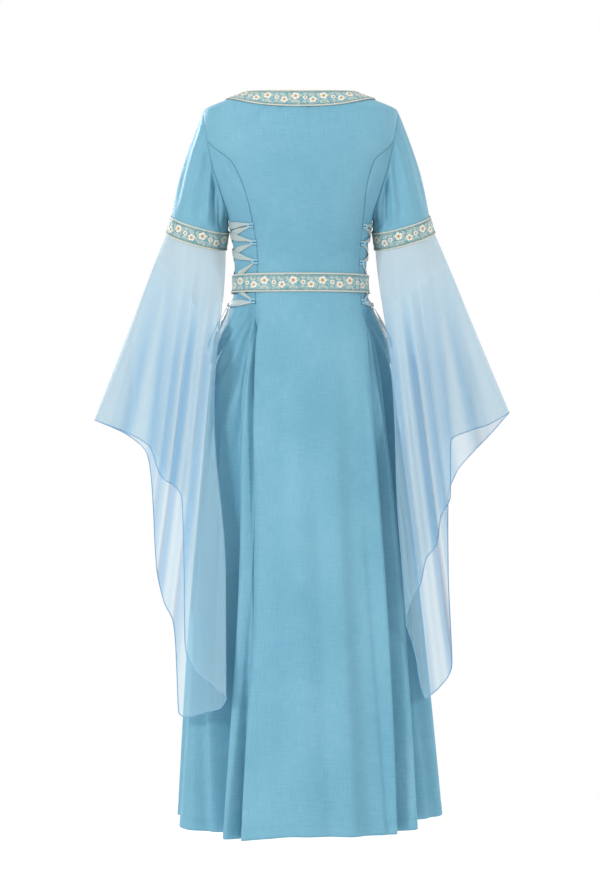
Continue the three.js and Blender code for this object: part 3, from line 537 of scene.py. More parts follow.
def shell_of(points: Array, away: Array, closed: bool, thickness: float) -> MeshData:
    """A closed wall from a grid of outer points.

    Args:
        points: The grid of outer points.
        away: A rough outward direction for each.
        closed: Whether the grid runs round a tube.
        thickness: How far in the inner skin lies.

    Returns:
        The wall, facing outwards on every side.
    """
    tall, wide = points.shape[:2]
    normals = grid_normals(points, closed, away)
    outer = sheet_of(points, away, closed)
    within = (points - normals * thickness).reshape(-1, 3)
    made = joined([outer, MeshData(within, outer.faces[:, ::-1], outer.uv[:, ::-1])])
    grid = np.arange(tall * wide).reshape(tall, wide)
    places = cloth_places(points, closed)
    edges = [(grid[0], places[0]), (grid[-1][::-1], places[-1][::-1])]
    if not closed:
        edges += [(grid[::-1, 0], places[::-1, 0]), (grid[:, -1], places[:, -1])]
    flat, count = points.reshape(-1, 3), tall * wide
    for ids, uv in edges:
        if closed:
            ids = np.append(ids, ids[0])
        a, b = ids[:-1], ids[1:]
        faces = np.stack([a, b, b + count, a + count], -1)
        first, second, _, last = (made.points[faces[:, k]] for k in range(4))
        normal = np.cross(second - first, last - first)
        inside = flat[neighbour_in(grid, a)] - flat[a]
        corner = np.stack([uv[:-1], uv[1:], uv[1:], uv[:-1]], 1)
        if float(np.sum(normal * inside)) > 0:
            faces, corner = faces[:, ::-1], corner[:, ::-1]
        made.faces = np.concatenate([made.faces, faces])
        made.uv = np.concatenate([made.uv, corner])
    return made


def neighbour_in(grid: Array, ids: Array) -> Array:
    """For points on a grid's edge, the points one step further in."""
    tall, wide = grid.shape
    j, i = ids // wide, ids % wide
    if len(ids) > 1 and np.all(j == j[0]) and j[0] in (0, tall - 1):
        return grid[1 if j[0] == 0 else tall - 2][i]
    return grid[j, np.where(i == 0, 1, wide - 2)]


def tube_of(
    path: Array, out: Array, radius: Array, flat: float, sides: int, closed: bool
) -> MeshData:
    """A tube or cord along a path, with its ends closed.

    Args:
        path: The points that it follows.
        out: The direction that its flat side faces at each.
        radius: Its half width, one number or one a point.
        flat: Its thickness as a share of its width.
        sides: How many sides it has, an even number.
        closed: Whether it is a ring.

    Returns:
        The closed tube.
    """
    if closed:
        tangent = unit(np.roll(path, -1, 0) - np.roll(path, 1, 0))
    else:
        tangent = unit(np.gradient(path, axis=0))
    aside = unit(np.cross(tangent, out))
    up = unit(np.cross(aside, tangent))
    turn = 2 * np.pi * np.arange(sides) / sides
    radius = np.broadcast_to(np.asarray(radius, float), (len(path),))[:, None, None]
    ring = aside[:, None] * np.cos(turn)[:, None] + flat * up[:, None] * np.sin(turn)[:, None]
    points = path[:, None] + radius * ring
    if closed:
        grid = np.swapaxes(points, 0, 1)
        grid = np.concatenate([grid, grid[:1]])
        away = grid - path[None]
        made = sheet_of(grid, away, True)
        count = sides * len(path)
        wrapped = np.where(made.faces >= count, made.faces - count, made.faces)
        return MeshData(made.points[:count], wrapped, made.uv)
    made = sheet_of(points, points - path[:, None], True)
    caps = []
    for start, sign in ((0, 1), ((len(path) - 1) * sides, -1)):
        for k in range(sides // 2 - 1):
            face = [start + k, start + k + 1, start + sides - 2 - k, start + sides - 1 - k]
            caps.append(face[::-1] if sign < 0 else face)
    caps = np.array(caps)
    a, b, c = (made.points[caps[:, k]] for k in range(3))
    normal = np.cross(b - a, c - a)
    half = len(caps) // 2
    for part, facing in ((slice(0, half), -tangent[0]), (slice(half, None), tangent[-1])):
        if float(np.sum(normal[part] @ facing)) < 0:
            caps[part] = caps[part][:, ::-1]
    uv = np.zeros((len(caps), 4, 2))
    return MeshData(made.points, np.concatenate([made.faces, caps]), np.concatenate([made.uv, uv]))


def on_side(data: MeshData, side: Side) -> MeshData:
    """A left piece's mesh as it is on a side, still facing outwards."""
    if side is Side.LEFT:
        return data
    return MeshData(data.points * (-1, 1, 1), data.faces[:, ::-1], data.uv[:, ::-1], data.tint)


def object_of(name: str, data: MeshData, material: bpy.types.Material) -> bpy.types.Object:
    """A Blender object in metres from a mesh in millimetres.

    Args:
        name: The piece's name.
        data: Its mesh, all of triangles or all of four-sided faces.
        material: Its finish.

    Returns:
        The object, linked into the scene and smooth.
    """
    mesh = bpy.data.meshes.new(name)
    sides = data.faces.shape[1]
    mesh.vertices.add(len(data.points))
    mesh.vertices.foreach_set("co", (data.points * MM).astype(np.float32).ravel())
    mesh.loops.add(data.faces.size)
    mesh.loops.foreach_set("vertex_index", data.faces.astype(np.int32).ravel())
    mesh.polygons.add(len(data.faces))
    mesh.polygons.foreach_set("loop_start", np.arange(0, data.faces.size, sides, dtype=np.int32))
    mesh.update(calc_edges=True)
    mesh.uv_layers.new(name="UVMap").uv.foreach_set("vector", data.uv.astype(np.float32).ravel())
    if data.tint is not None:
        tint = mesh.attributes.new("tint", "FLOAT", "POINT")
        tint.data.foreach_set("value", data.tint.astype(np.float32))
    mesh.validate()
    mesh.shade_smooth()
    made = bpy.data.objects.new(name, mesh)
    made.data.materials.append(material)
    bpy.context.scene.collection.objects.link(made)
    return made


@dataclass(frozen=True)
class Cut:
    """The flat cut of a sheet of cloth, in metres and square metres."""

    width: float
    length: float
    area: float


def hand_over(
    piece: bpy.types.Object,
    nodes: Sequence[str] = (),
) -> bpy.types.Object:
    """Puts a finished piece on the dress's one body, hides the nodes that it replaces and logs its
    faces and area.

    Args:
        piece: The finished object.
        nodes: The nodes that it replaces.

    Returns:
        The piece.
    """
    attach(piece, "root")
    if nodes:
        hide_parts(*nodes)
    LOG.info("%s: %d faces, %.4f m2 both sides", piece.name, len(piece.data.polygons),
             sum(face.area for face in piece.data.polygons))
    return piece


# ---- finishes -----------------------------------------------------------------------------------
def colour(code: str) -> tuple[float, float, float, float]:
    """An sRGB hex colour as linear numbers."""
    parts = [int(code[k : k + 2], 16) / 255 for k in (0, 2, 4)]
    linear = [p / 12.92 if p <= 0.04045 else ((p + 0.055) / 1.055) ** 2.4 for p in parts]
    return (*linear, 1.0)


def add_node(
    tree: bpy.types.NodeTree, kind: str, inputs: dict | None = None, **settings: object
) -> bpy.types.Node:
    """Adds a node with its settings, values and links.

    Args:
        tree: The tree that it joins.
        kind: Its Blender type.
        inputs: A value or another node's output for each input.
        settings: Its own properties.

    Returns:
        The node.
    """
    made = tree.nodes.new(kind)
    for name, value in settings.items():
        setattr(made, name, value)
    for key, value in (inputs or {}).items():
        if isinstance(value, bpy.types.NodeSocket):
            tree.links.new(value, made.inputs[key])
        else:
            made.inputs[key].default_value = value
    return made


def new_material(name: str) -> tuple[bpy.types.Material, Callable, bpy.types.Node]:
    """A material, what adds a node to it, and its principled shader, joined to the output."""
    made = bpy.data.materials.new(name)
    made.use_nodes = True
    made.node_tree.nodes.clear()
    node = partial(add_node, made.node_tree)
    shader = node("ShaderNodeBsdfPrincipled")
    node("ShaderNodeOutputMaterial", {"Surface": shader.outputs[0]})
    return made, node, shader


def dress_shader(
    shader: bpy.types.Node,
    share: bpy.types.NodeSocket,
    colours: tuple[str, str],
    relief: dict,
    values: dict[str, float],
) -> None:
    """Gives a shader its colour, its relief and its plain values.

    Args:
        shader: The principled shader.
        share: How far the colour is from the first to the second.
        colours: The two colours, as sRGB hex.
        relief: The bump's inputs.
        values: The shader's own values.
    """
    node = partial(add_node, shader.id_data)
    ends = {0: share, 6: colour(colours[0]), 7: colour(colours[1])}
    mixed = node("ShaderNodeMix", ends, data_type="RGBA")
    bump = node("ShaderNodeBump", relief)
    links = shader.id_data.links
    links.new(mixed.outputs[2], shader.inputs["Base Color"])
    links.new(bump.outputs[0], shader.inputs["Normal"])
    for name, value in values.items():
        shader.inputs[name].default_value = value


WAVE_UNIT = 2 * math.pi / 20 * 1000  # a wave texture of scale 1 repeats at this many millimetres


@dataclass(frozen=True)
class PlainWeave:
    """Dyed plain-weave suiting: matt, with the slightly uneven threads of a slubbed yarn."""

    name: str
    light: str
    dark: str
    thread_mm: float  # coarser than real yarn, so that it shows
    roughness: float
    sheen: float
    slubs_per_metre: tuple[float, float] = (620, 34)  # across the yarn and along it
    dye_per_metre: float = 5.0

    def make(self) -> bpy.types.Material:
        """The material, woven along the cloth's own places."""
        made, node, shader = new_material(self.name)
        uv = node("ShaderNodeTexCoord").outputs["UV"]
        scale = WAVE_UNIT / self.thread_mm
        waves = [
            node(
                "ShaderNodeTexWave",
                {"Vector": uv, "Scale": scale, "Distortion": 1.2, "Detail": 1.0},
                bands_direction=direction,
            ).outputs["Fac"]
            for direction in ("X", "Y")
        ]
        both_ways = {0: waves[0], 1: waves[1]}
        weave = node("ShaderNodeMath", both_ways, operation="MULTIPLY").outputs[0]
        across, along = self.slubs_per_metre
        slubs = []
        for stretch in ((across, along, 1), (along, across, 1)):
            place = node("ShaderNodeMapping", {"Vector": uv, "Scale": stretch})
            noise = {"Vector": place.outputs[0], "Scale": 1.0, "Detail": 2.0}
            slubs.append(node("ShaderNodeTexNoise", noise).outputs["Fac"])
        both_slubs = {0: slubs[0], 1: slubs[1]}
        slub = node("ShaderNodeMath", both_slubs, operation="ADD").outputs[0]
        cloudy = {"Vector": uv, "Scale": self.dye_per_metre, "Detail": 3.0}
        dye = node("ShaderNodeTexNoise", cloudy).outputs["Fac"]
        sums = [
            node("ShaderNodeMath", terms, operation="MULTIPLY_ADD").outputs[0]
            for terms in ({0: slub, 1: 0.7, 2: dye}, {0: slub, 1: 0.8, 2: weave})
        ]
        span = {"Value": sums[0], "From Min": 0.85, "From Max": 1.55}
        share = node("ShaderNodeMapRange", span).outputs[0]
        dress_shader(
            shader,
            share,
            (self.dark, self.light),
            {"Height": sums[1], "Strength": 0.22, "Distance": 0.0006},
            {
                "Roughness": self.roughness,
                "Sheen Weight": self.sheen,
                "Sheen Roughness": 0.45,
                "Specular IOR Level": 0.3,
            },
        )
        return made


@dataclass(frozen=True)
class SheerChiffon:
    """Silk chiffon: thin, sheer and faintly crinkled, paler where one layer shows, with painted shade
    in its folds.
    """

    name: str
    light: str
    dark: str
    cover: float
    least: float = 0.04
    most: float = 0.34
    streaks_per_metre: tuple[float, float] = (26, 3)
    crinkle_mm: float = 2.2

    def make(self) -> bpy.types.Material:
        """The material, see-through in proportion to its threads."""
        made, node, shader = new_material(self.name)
        uv = node("ShaderNodeTexCoord").outputs["UV"]
        scale = (*self.streaks_per_metre, 1)
        stretch = node("ShaderNodeMapping", {"Vector": uv, "Scale": scale})
        soft = {"Vector": stretch.outputs[0], "Scale": 1.0, "Detail": 2.0}
        streak = node("ShaderNodeTexNoise", soft).outputs["Fac"]
        # Painted shade: the sleeves' tint, high in fold valleys and on steep slopes, darkens the colour
        # and thickens the cover.
        gathered_and_painted_shade = node("ShaderNodeAttribute", attribute_name="tint").outputs["Fac"]
        terms = {0: streak, 1: 0.3, 2: gathered_and_painted_shade}
        sums = {"operation": "MULTIPLY_ADD", "use_clamp": True}
        share = node("ShaderNodeMath", terms, **sums).outputs[0]
        span = {"Value": share, "To Min": self.cover - self.least, "To Max": self.cover + self.most}
        cover = node("ShaderNodeMapRange", span).outputs[0]
        made.node_tree.links.new(cover, shader.inputs["Alpha"])
        scale = WAVE_UNIT / self.crinkle_mm
        crinkle = {"Vector": uv, "Scale": scale, "Distortion": 6.0, "Detail": 2.0}
        height = node("ShaderNodeTexWave", crinkle).outputs["Fac"]
        dress_shader(
            shader,
            share,
            (self.light, self.dark),
            {"Height": height, "Strength": 0.12, "Distance": 0.0005},
            {
                "Roughness": 0.6,
                "Sheen Weight": 0.35,
                "Sheen Roughness": 0.5,
                "Specular IOR Level": 0.25,
            },
        )
        return made


@dataclass(frozen=True)
class SmoothThread:
    """Spun or satin-woven thread: fine ribs along the piece and a soft gloss across them."""

    name: str
    light: str
    dark: str
    rib_mm: float
    roughness: float
    sheen: float
    specular: float
    grains_per_metre: float = 350.0

    def make(self) -> bpy.types.Material:
        """The material, its light and dark by tint where the piece has one."""
        made, node, shader = new_material(self.name)
        uv = node("ShaderNodeTexCoord").outputs["UV"]
        tint = node("ShaderNodeAttribute", attribute_name="tint").outputs["Fac"]
        ribs = {"Vector": uv, "Scale": WAVE_UNIT / self.rib_mm, "Distortion": 1.0}
        rib = node("ShaderNodeTexWave", ribs, bands_direction="DIAGONAL").outputs["Fac"]
        uneven = {"Vector": uv, "Scale": self.grains_per_metre, "Detail": 2.0}
        grain = node("ShaderNodeTexNoise", uneven).outputs["Fac"]
        terms = {0: grain, 1: 0.35, 2: tint}
        sums = {"operation": "MULTIPLY_ADD", "use_clamp": True}
        share = node("ShaderNodeMath", terms, **sums).outputs[0]
        dress_shader(
            shader,
            share,
            (self.light, self.dark),
            {"Height": rib, "Strength": 0.25, "Distance": 0.0004},
            {
                "Roughness": self.roughness,
                "Sheen Weight": self.sheen,
                "Specular IOR Level": self.specular,
            },
        )
        return made


@dataclass(frozen=True)
class JacquardGround:
    """The band's woven ground: teal satin flecked with silver thread."""

    name: str
    ground: str
    fleck: str
    flecks_per_metre: tuple[float, float] = (380, 520)

    def make(self) -> bpy.types.Material:
        """The material, with flecks a few threads long."""
        made, node, shader = new_material(self.name)
        uv = node("ShaderNodeTexCoord").outputs["UV"]
        scale = (*self.flecks_per_metre, 1)
        stretch = node("ShaderNodeMapping", {"Vector": uv, "Scale": scale})
        cells = {"Vector": stretch.outputs[0], "Scale": 1.0, "Randomness": 1.0}
        cell = node("ShaderNodeTexVoronoi", cells).outputs["Distance"]
        edge = {"Value": cell, "From Min": 0.26, "From Max": 0.55, "To Min": 0.9, "To Max": 0.0}
        share = node("ShaderNodeMapRange", edge).outputs[0]
        dress_shader(
            shader,
            share,
            (self.ground, self.fleck),
            {"Height": share, "Strength": 0.4, "Distance": 0.0004},
            {"Roughness": 0.5, "Sheen Weight": 0.2},
        )
        return made


class Wardrobe:
    """Every finish of the dress, made once."""

    def __init__(self) -> None:
        """Makes the materials."""
        # Dyed polyester suiting: matt and even, with a faint slub both ways.
        self.cloth = PlainWeave("sky_blue_plain_weave", "7fb6cb", "65a2ba", 1.3, 0.58, 0.12).make()
        # Sheer chiffon: two layers look blue, one looks almost white; the darker blue also serves as
        # painted shade in the folds.
        self.chiffon = SheerChiffon("pale_blue_chiffon", "aed3e0", "62a6d2", 0.42).make()
        # The same chiffon rolled into a hem, so that it covers.
        self.hem = SmoothThread("rolled_chiffon_hem", "7fafd4", "6597c0", 0.8, 0.6, 0.3, 0.3).make()
        # Jacquard ground: teal with silver flecks.
        self.ground = JacquardGround("teal_jacquard_ground", "5f9eaa", "b8c4c3").make()
        # Viscose embroidery thread: glossy cream, gold towards a flower's middle.
        self.petal = SmoothThread("cream_flower_thread", "fbf8f0", "a88b52", 0.5, 0.4, 0.2, 0.5).make()
        # Silver-green viscose thread of stems and leaves: a soft gloss.
        self.leaf = SmoothThread("silver_green_thread", "d3ddd4", "9fb5a8", 0.5, 0.45, 0.2, 0.5).make()
        # Piping: cotton cord, cream.
        self.piping = SmoothThread("cream_piping_cord", "dedacb", "b3a98f", 0.9, 0.6, 0.3, 0.3).make()
        # Metallised gold sewing thread, in short stitches.
        self.gold = SmoothThread("gold_stitch_thread", "a1895f", "6e5836", 0.4, 0.35, 0.0, 0.6).make()
        # Blue sewing thread of the hem's stitches: matt and fine.
        self.thread = SmoothThread("blue_sewing_thread", "74adc3", "5592ac", 0.3, 0.6, 0.1, 0.3).make()
        # Double-faced satin ribbon: fine ribs and a soft gloss.
        self.satin = SmoothThread("silver_satin_ribbon", "b9c7c6", "98a7a5", 0.6, 0.34, 0.3, 0.5).make()
        # Bias-cut tube of the lacing loops: matt, with ribs round it.
        self.loop = SmoothThread("pale_blue_bias_tube", "92c3d6", "74aac0", 0.8, 0.65, 0.3, 0.3).make()


# ---- stitches -----------------------------------------------------------------------------------
class StitchRow:
    """Rows of stitches along paths, made by one node tree."""

    SIZES = ("Pitch", "Length", "Thickness")

    def __init__(self) -> None:
        """Builds the tree."""
        tree = bpy.data.node_groups.new("stitch_row", "GeometryNodeTree")
        face = tree.interface
        face.new_socket("Path", in_out="INPUT", socket_type="NodeSocketGeometry")
        for name in self.SIZES:
            face.new_socket(name, in_out="INPUT", socket_type="NodeSocketFloat")
        face.new_socket("Finish", in_out="INPUT", socket_type="NodeSocketMaterial")
        face.new_socket("Stitches", in_out="OUTPUT", socket_type="NodeSocketGeometry")
        node = partial(add_node, tree)
        given = node("NodeGroupInput").outputs
        line = node("GeometryNodeMeshToCurve", {"Mesh": given["Path"]})
        pitch = {"Curve": line.outputs[0], "Length": given["Pitch"]}
        spaced = node("GeometryNodeResampleCurve", pitch, mode="LENGTH")
        tangent = node("GeometryNodeInputTangent")
        ahead = {"Vector": tangent.outputs[0]}
        turned = node("FunctionNodeAlignRotationToVector", ahead, axis="X")
        half = [
            node("ShaderNodeMath", {0: given[name], 1: 0.5}, operation="MULTIPLY")
            for name in ("Length", "Thickness")
        ]
        size = node(
            "ShaderNodeCombineXYZ",
            {"X": half[0].outputs[0], "Y": half[1].outputs[0], "Z": half[1].outputs[0]},
        )
        bead = node("GeometryNodeMeshIcoSphere", {"Radius": 1.0, "Subdivisions": 1})
        placed = node(
            "GeometryNodeInstanceOnPoints",
            {
                "Points": spaced.outputs[0],
                "Instance": bead.outputs[0],
                "Rotation": turned.outputs[0],
                "Scale": size.outputs[0],
            },
        )
        real = node("GeometryNodeRealizeInstances", {"Geometry": placed.outputs[0]})
        finish = {"Geometry": real.outputs[0], "Material": given["Finish"]}
        dressed = node("GeometryNodeSetMaterial", finish)
        node("NodeGroupOutput", {"Stitches": dressed.outputs[0]})
        self.tree = tree
        self.sockets = {
            item.name: item.identifier
            for item in face.items_tree
            if item.item_type == "SOCKET" and item.in_out == "INPUT"
        }

    def sew(
        self,
        name: str,
        paths: Sequence[Array],
        closed: bool,
        sizes: tuple[float, float, float],
        finish: bpy.types.Material,
    ) -> bpy.types.Object:
        """Stitches along paths, as a plain mesh.

        Args:
            name: The piece's name.
            paths: The paths, in millimetres.
            closed: Whether each is a ring.
            sizes: Pitch, length and thickness of a stitch.
            finish: The thread's material.

        Returns:
            The piece, riding on the dress.
        """
        corners, edges = [], []
        for path in paths:
            first = len(corners)
            corners += [tuple(p) for p in np.asarray(path) * MM]
            count = len(path)
            edges += [(first + k, first + k + 1) for k in range(count - 1)]
            if closed:
                edges.append((first + count - 1, first))
        mesh = bpy.data.meshes.new(name)
        mesh.from_pydata(corners, edges, [])
        piece = bpy.data.objects.new(name, mesh)
        bpy.context.scene.collection.objects.link(piece)
        modifier = piece.modifiers.new("stitches", "NODES")
        modifier.node_group = self.tree
        for label, value in zip(self.SIZES, sizes):
            modifier[self.sockets[label]] = value * MM
        modifier[self.sockets["Finish"]] = finish
        ready = piece.evaluated_get(bpy.context.evaluated_depsgraph_get())
        plain = bpy.data.meshes.new_from_object(ready)
        piece.modifiers.remove(modifier)
        piece.data = plain
        if not plain.materials:
            plain.materials.append(finish)
        plain.shade_smooth()
        return hand_over(piece)


# ---- the body panels ----------------------------------------------------------------------------
@dataclass
class BodicePanels:
    """Six panels from shoulder or armhole to hem, each a thin wall in its worn form."""

    wall: float = 1.1
    seam_dip: float = 1.5
    seam_width: float = 1.9
    pucker: float = 0.34
    pucker_pitch: float = 8.5
    pucker_reach: float = 11.0
    pucker_foot: float = -700.0
    pucker_drift: float = 23.0
    pucker_uneven: float = 41.0
    hem_turn: float = 20.0
    hem_proud: float = 0.5
    armhole_fade: float = 40.0
    drag_ease: float = 40.0
    row_bias: float = 1.05
    yoke_bias: float = 1.6
    shallow: float = 0.6
    top_rows: int = 70
    rows: int = 250
    columns: int = 150
    # Each side panel: where its side lies, the sense towards the seam, which seam, and its columns.
    side_panels: tuple = (
        ("side_back_left", 0, 1, "left", 110),
        ("side_back_right", 180, -1, "right", 90),
        ("side_front_left", 0, -1, "right", 80),
        ("side_front_right", 180, 1, "left", 90),
    )
    cuts: dict[str, Cut] = field(
        default_factory=lambda: {
            "back_panel": Cut(0.42, 1.36, 0.39),
            "front_panel": Cut(0.42, 1.34, 0.37),
            "side_back_left": Cut(0.42, 1.27, 0.26),
            "side_back_right": Cut(0.30, 1.26, 0.18),
            "side_front_left": Cut(0.27, 1.25, 0.16),
            "side_front_right": Cut(0.36, 1.25, 0.22),
        }
    )

    def below(self, start: Edge, end: Edge, columns: int, shallow: float = 0) -> Array:
        """A panel's points from the princess junction to the hem.

        Args:
            start: The angle of its first edge at a height.
            end: The angle of its other edge.
            columns: How many columns of points it has.
            shallow: How much of the dip at its edges is left out beside the armhole.

        Returns:
            The points.
        """
        share = np.linspace(0, 1, columns)[None]
        t = np.linspace(0, 1, self.rows)[:, None] ** self.row_bias
        angle = start(np.full((self.rows, 1), HIP_Z)) * (1 - share) + end(HIP_Z) * share
        for _ in range(4):
            z = JUNCTION_Z + (FORM.hem(angle) - JUNCTION_Z) * t
            angle = start(z) * (1 - share) + end(z) * share
        points = FORM.point(angle, z)
        gap = np.cumsum(np.linalg.norm(np.diff(points, axis=1), axis=-1), 1)
        gap = np.concatenate([np.zeros((self.rows, 1)), gap], 1)
        near = np.minimum(gap, gap[:, -1:] - gap)
        beside = smooth((z - UNDERARM_Z) / self.armhole_fade + 1)
        deep = self.seam_dip * (1 - shallow * beside)
        dip = deep * np.exp(-((near / self.seam_width) ** 2))
        hem = np.clip((z - FORM.hem(angle)) / self.hem_turn, 0, 1.4)
        proud = self.hem_proud * (1 - smooth((hem - 0.9) * 5))
        beat = np.sin(2 * np.pi * z / self.pucker_pitch + 1.7 * np.sin(z / self.pucker_drift))
        uneven = 0.7 + 0.3 * np.sin(z / self.pucker_uneven)
        fade = np.exp(-near / self.pucker_reach) * (z > self.pucker_foot)
        dip = dip + self.pucker * beat * uneven * fade
        return points + FORM.normal(angle, z) * (proud - dip)[..., None]

    def yoke(self, foot: Array, front: bool) -> Array:
        """The rows over a centre panel, fanned up to the neckline and the shoulder's ridge.

        Args:
            foot: The points at the princess junction, where the rows end.
            front: Whether it is the front panel.

        Returns:
            The points.
        """
        sign = -1 if front else 1
        drop = np.linspace(0, 1, self.top_rows, endpoint=False)[:, None] ** self.yoke_bias
        edge = np.where(foot[:, 0] * foot[0, 0] > 0, abs(foot[0, 0]), abs(foot[-1, 0]))
        share = foot[:, 0] / edge
        z = np.full((self.top_rows, len(foot)), JUNCTION_Z)
        for _ in range(6):
            level = np.minimum(z, ARMHOLE_TOP_Z)
            x = share * FORM.flat_point(FORM.armhole(level, front), level)[..., 0]
            z = FORM.top(x, front) * (1 - drop) + foot[:, 2] * drop
        y = sign * FORM.reach(x, z, front)
        y = y - sign * FORM.drag(x, z, sign) * smooth(np.abs(y) / self.drag_ease)
        return np.stack([x, y, z], -1)

    def make(self, finish: bpy.types.Material) -> None:
        """Makes the six panels.

        Args:
            finish: The cloth's material.
        """
        for front, name in ((False, "back_panel"), (True, "front_panel")):
            sign = -1 if front else 1
            first, last = ("right", "left") if front else ("left", "right")
            start, end = (
                lambda z: sign * FORM.seam(z, first),
                lambda z: sign * (180 - FORM.seam(z, last)),
            )
            grid = self.below(start, end, self.columns)
            self.add(name, np.concatenate([self.yoke(grid[0], front), grid]), finish)
        for name, middle, sense, seam, columns in self.side_panels:
            front = "front" in name
            start, end = (
                lambda z: middle + sense * FORM.armhole(z, front),
                lambda z: middle + sense * FORM.seam(z, seam),
            )
            self.add(name, self.below(start, end, columns, self.shallow), finish)

    def add(self, name: str, grid: Array, finish: bpy.types.Material) -> None:
        """Hands one panel over."""
        away = grid - grid.mean((0, 1)) * (0, 0, 1)
        away[..., 2] = 0
        data = shell_of(grid, away, False, self.wall)
        piece = object_of(f"{name}_cloth", data, finish)
        hand_over(piece, [name])


# ---- the sleeves --------------------------------------------------------------------------------
ARM_SPREAD = math.radians(15.8)
ARM_FORWARD = math.radians(12)
BAND_TOP = np.array([186, -8, -235, 54.5, 50])
BAND_FOOT = np.array([193.5, -14.5, -266, 57, 52])
ARM_AXIS = np.array(
    [
        math.sin(ARM_SPREAD) * math.cos(ARM_FORWARD),
        -math.sin(ARM_FORWARD),
        -math.cos(ARM_SPREAD) * math.cos(ARM_FORWARD),
    ]
)
ARM_OUT = np.array([math.cos(ARM_SPREAD), 0, math.sin(ARM_SPREAD)])
ARM_BEHIND = unit(np.cross(ARM_OUT, ARM_AXIS))
ARM_BEHIND = ARM_BEHIND * np.sign(ARM_BEHIND[1])


def circle(turn: Array) -> tuple[Array, Array]:
    """How far round a circle's two axes turns are."""
    return np.cos(2 * np.pi * turn), np.sin(2 * np.pi * turn)


def arm_ring(t: Array, turn: Array, out: float = 0) -> Array:
    """Points round the left arm.

    Args:
        t: Share of the way down the arm band, from 0 to 1.
        turn: Turns round the arm, 0 at its outer line and 0.25 behind.
        out: How far off the sleeve.

    Returns:
        The points.
    """
    t, turn = np.broadcast_arrays(t, turn)
    ring = BAND_TOP + (BAND_FOOT - BAND_TOP) * t[..., None]
    c, k = circle(turn[..., None])
    wide, deep = ring[..., 3:4] + out, ring[..., 4:5] + out
    return ring[..., :3] + ARM_OUT * wide * c + ARM_BEHIND * deep * k


def arm_away(turn: Array) -> Array:
    """The direction off the arm at turns round it."""
    c, k = circle(turn[..., None])
    return ARM_OUT * c + ARM_BEHIND * k


def crease_sum(turn: Array, v: Array, rows: Sequence[tuple]) -> Array:
    """Soft creases round a sleeve.

    Args:
        turn: Turns round the arm.
        v: Share of the way down.
        rows: Turn at the top, turn at the foot, depth and width of each crease.

    Returns:
        How deep they lie at each point.
    """
    depth = np.zeros(np.broadcast(turn, v).shape)
    for top, foot, deep, wide in rows:
        middle = top + (foot - top) * v
        off = np.abs((turn - middle + 0.5) % 1 - 0.5)
        depth = depth + deep * np.exp(-((off / wide) ** 2))
    return depth


@dataclass
class UpperSleeve:
    """One upper sleeve, from the armhole to the foot of the arm band."""

    side: Side
    wall: float = 1.1
    turns: int = 150
    rows: int = 90
    rows_under: int = 12
    head_short: float = 0.2
    head_off: float = 0.4
    bow: tuple = (6, 0, 4)
    ripple: float = 0.7
    ripples: int = 7
    seam_dip: float = 0.8
    seam_width: float = 2.4
    length: float = 190.0
    tucks: tuple = (7, 3)
    cut: Cut = Cut(0.36, 0.20, 0.050)
    # Turn at the top, turn at the foot, depth and width of each crease.
    creases: tuple = (
        (0.285, 0.355, 9.0, 0.026),
        (0.33, 0.40, 5.0, 0.018),
        (0.21, 0.25, 4.2, 0.022),
        (0.25, 0.30, -3.0, 0.018),
        (0.17, 0.19, -2.2, 0.016),
        (0.12, 0.14, -2.6, 0.034),
        (0.06, 0.07, 3.0, 0.030),
        (0.43, 0.42, 4.0, 0.030),
        (0.56, 0.57, 4.5, 0.030),
        (0.67, 0.64, 7.0, 0.032),
        (0.75, 0.74, -2.0, 0.026),
        (0.82, 0.80, 3.2, 0.028),
        (0.93, 0.93, 2.4, 0.034),
    )

    def head(self, turn: Array) -> Array:
        """The armhole's points, 0 at the shoulder and 0.25 behind."""
        middle, half = (ARMHOLE_TOP_Z + UNDERARM_Z) / 2, (ARMHOLE_TOP_Z - UNDERARM_Z) / 2
        z = middle + (half - self.head_short) * np.cos(2 * np.pi * turn)
        front = turn > 0.5
        angle = np.where(front, -FORM.armhole(z, True), FORM.armhole(z))
        return FORM.flat_point(angle, z) + (self.head_off, 0, 0)

    def grid(self) -> Array:
        """The sleeve's points, as on the left."""
        turn = np.arange(self.turns)[None] / self.turns
        v = np.linspace(0, 1, self.rows)[:, None]
        head, foot = self.head(turn), arm_ring(np.zeros(1), turn)
        bow = np.sin(np.pi * v) * np.maximum(0, np.cos(2 * np.pi * turn))
        points = head + (foot - head) * v[..., None] + bow[..., None] * self.bow
        depth = crease_sum(turn, v, self.creases) * smooth(v * 5) * smooth((1 - v) * 3.2)
        wave = np.sin(2 * np.pi * (self.ripples * turn + 0.8 * v))
        ripple = self.ripple * wave * np.sin(np.pi * v)
        points = points - arm_away(turn) * (depth + ripple)[..., None]
        dip = self.seam_dip * np.exp(-((v * self.length / self.seam_width) ** 2))
        points = points - arm_away(turn) * dip[..., None]
        under = arm_ring(np.linspace(0.05, 1, self.rows_under)[:, None], turn)
        tucked = np.stack([points[0] - (reach, 0, 0) for reach in self.tucks])
        return np.concatenate([tucked, points, under])

    def make(self, finish: bpy.types.Material) -> None:
        """Makes the sleeve."""
        grid = self.grid()
        turn = np.arange(self.turns)[None] / self.turns
        away = np.broadcast_to(arm_away(turn), grid.shape)
        data = on_side(shell_of(grid, away, True, self.wall), self.side)
        word = self.side.word
        piece = object_of(f"sleeve_upper_{word}_cloth", data, finish)
        hand_over(piece, [f"sleeve_upper_{word}"])


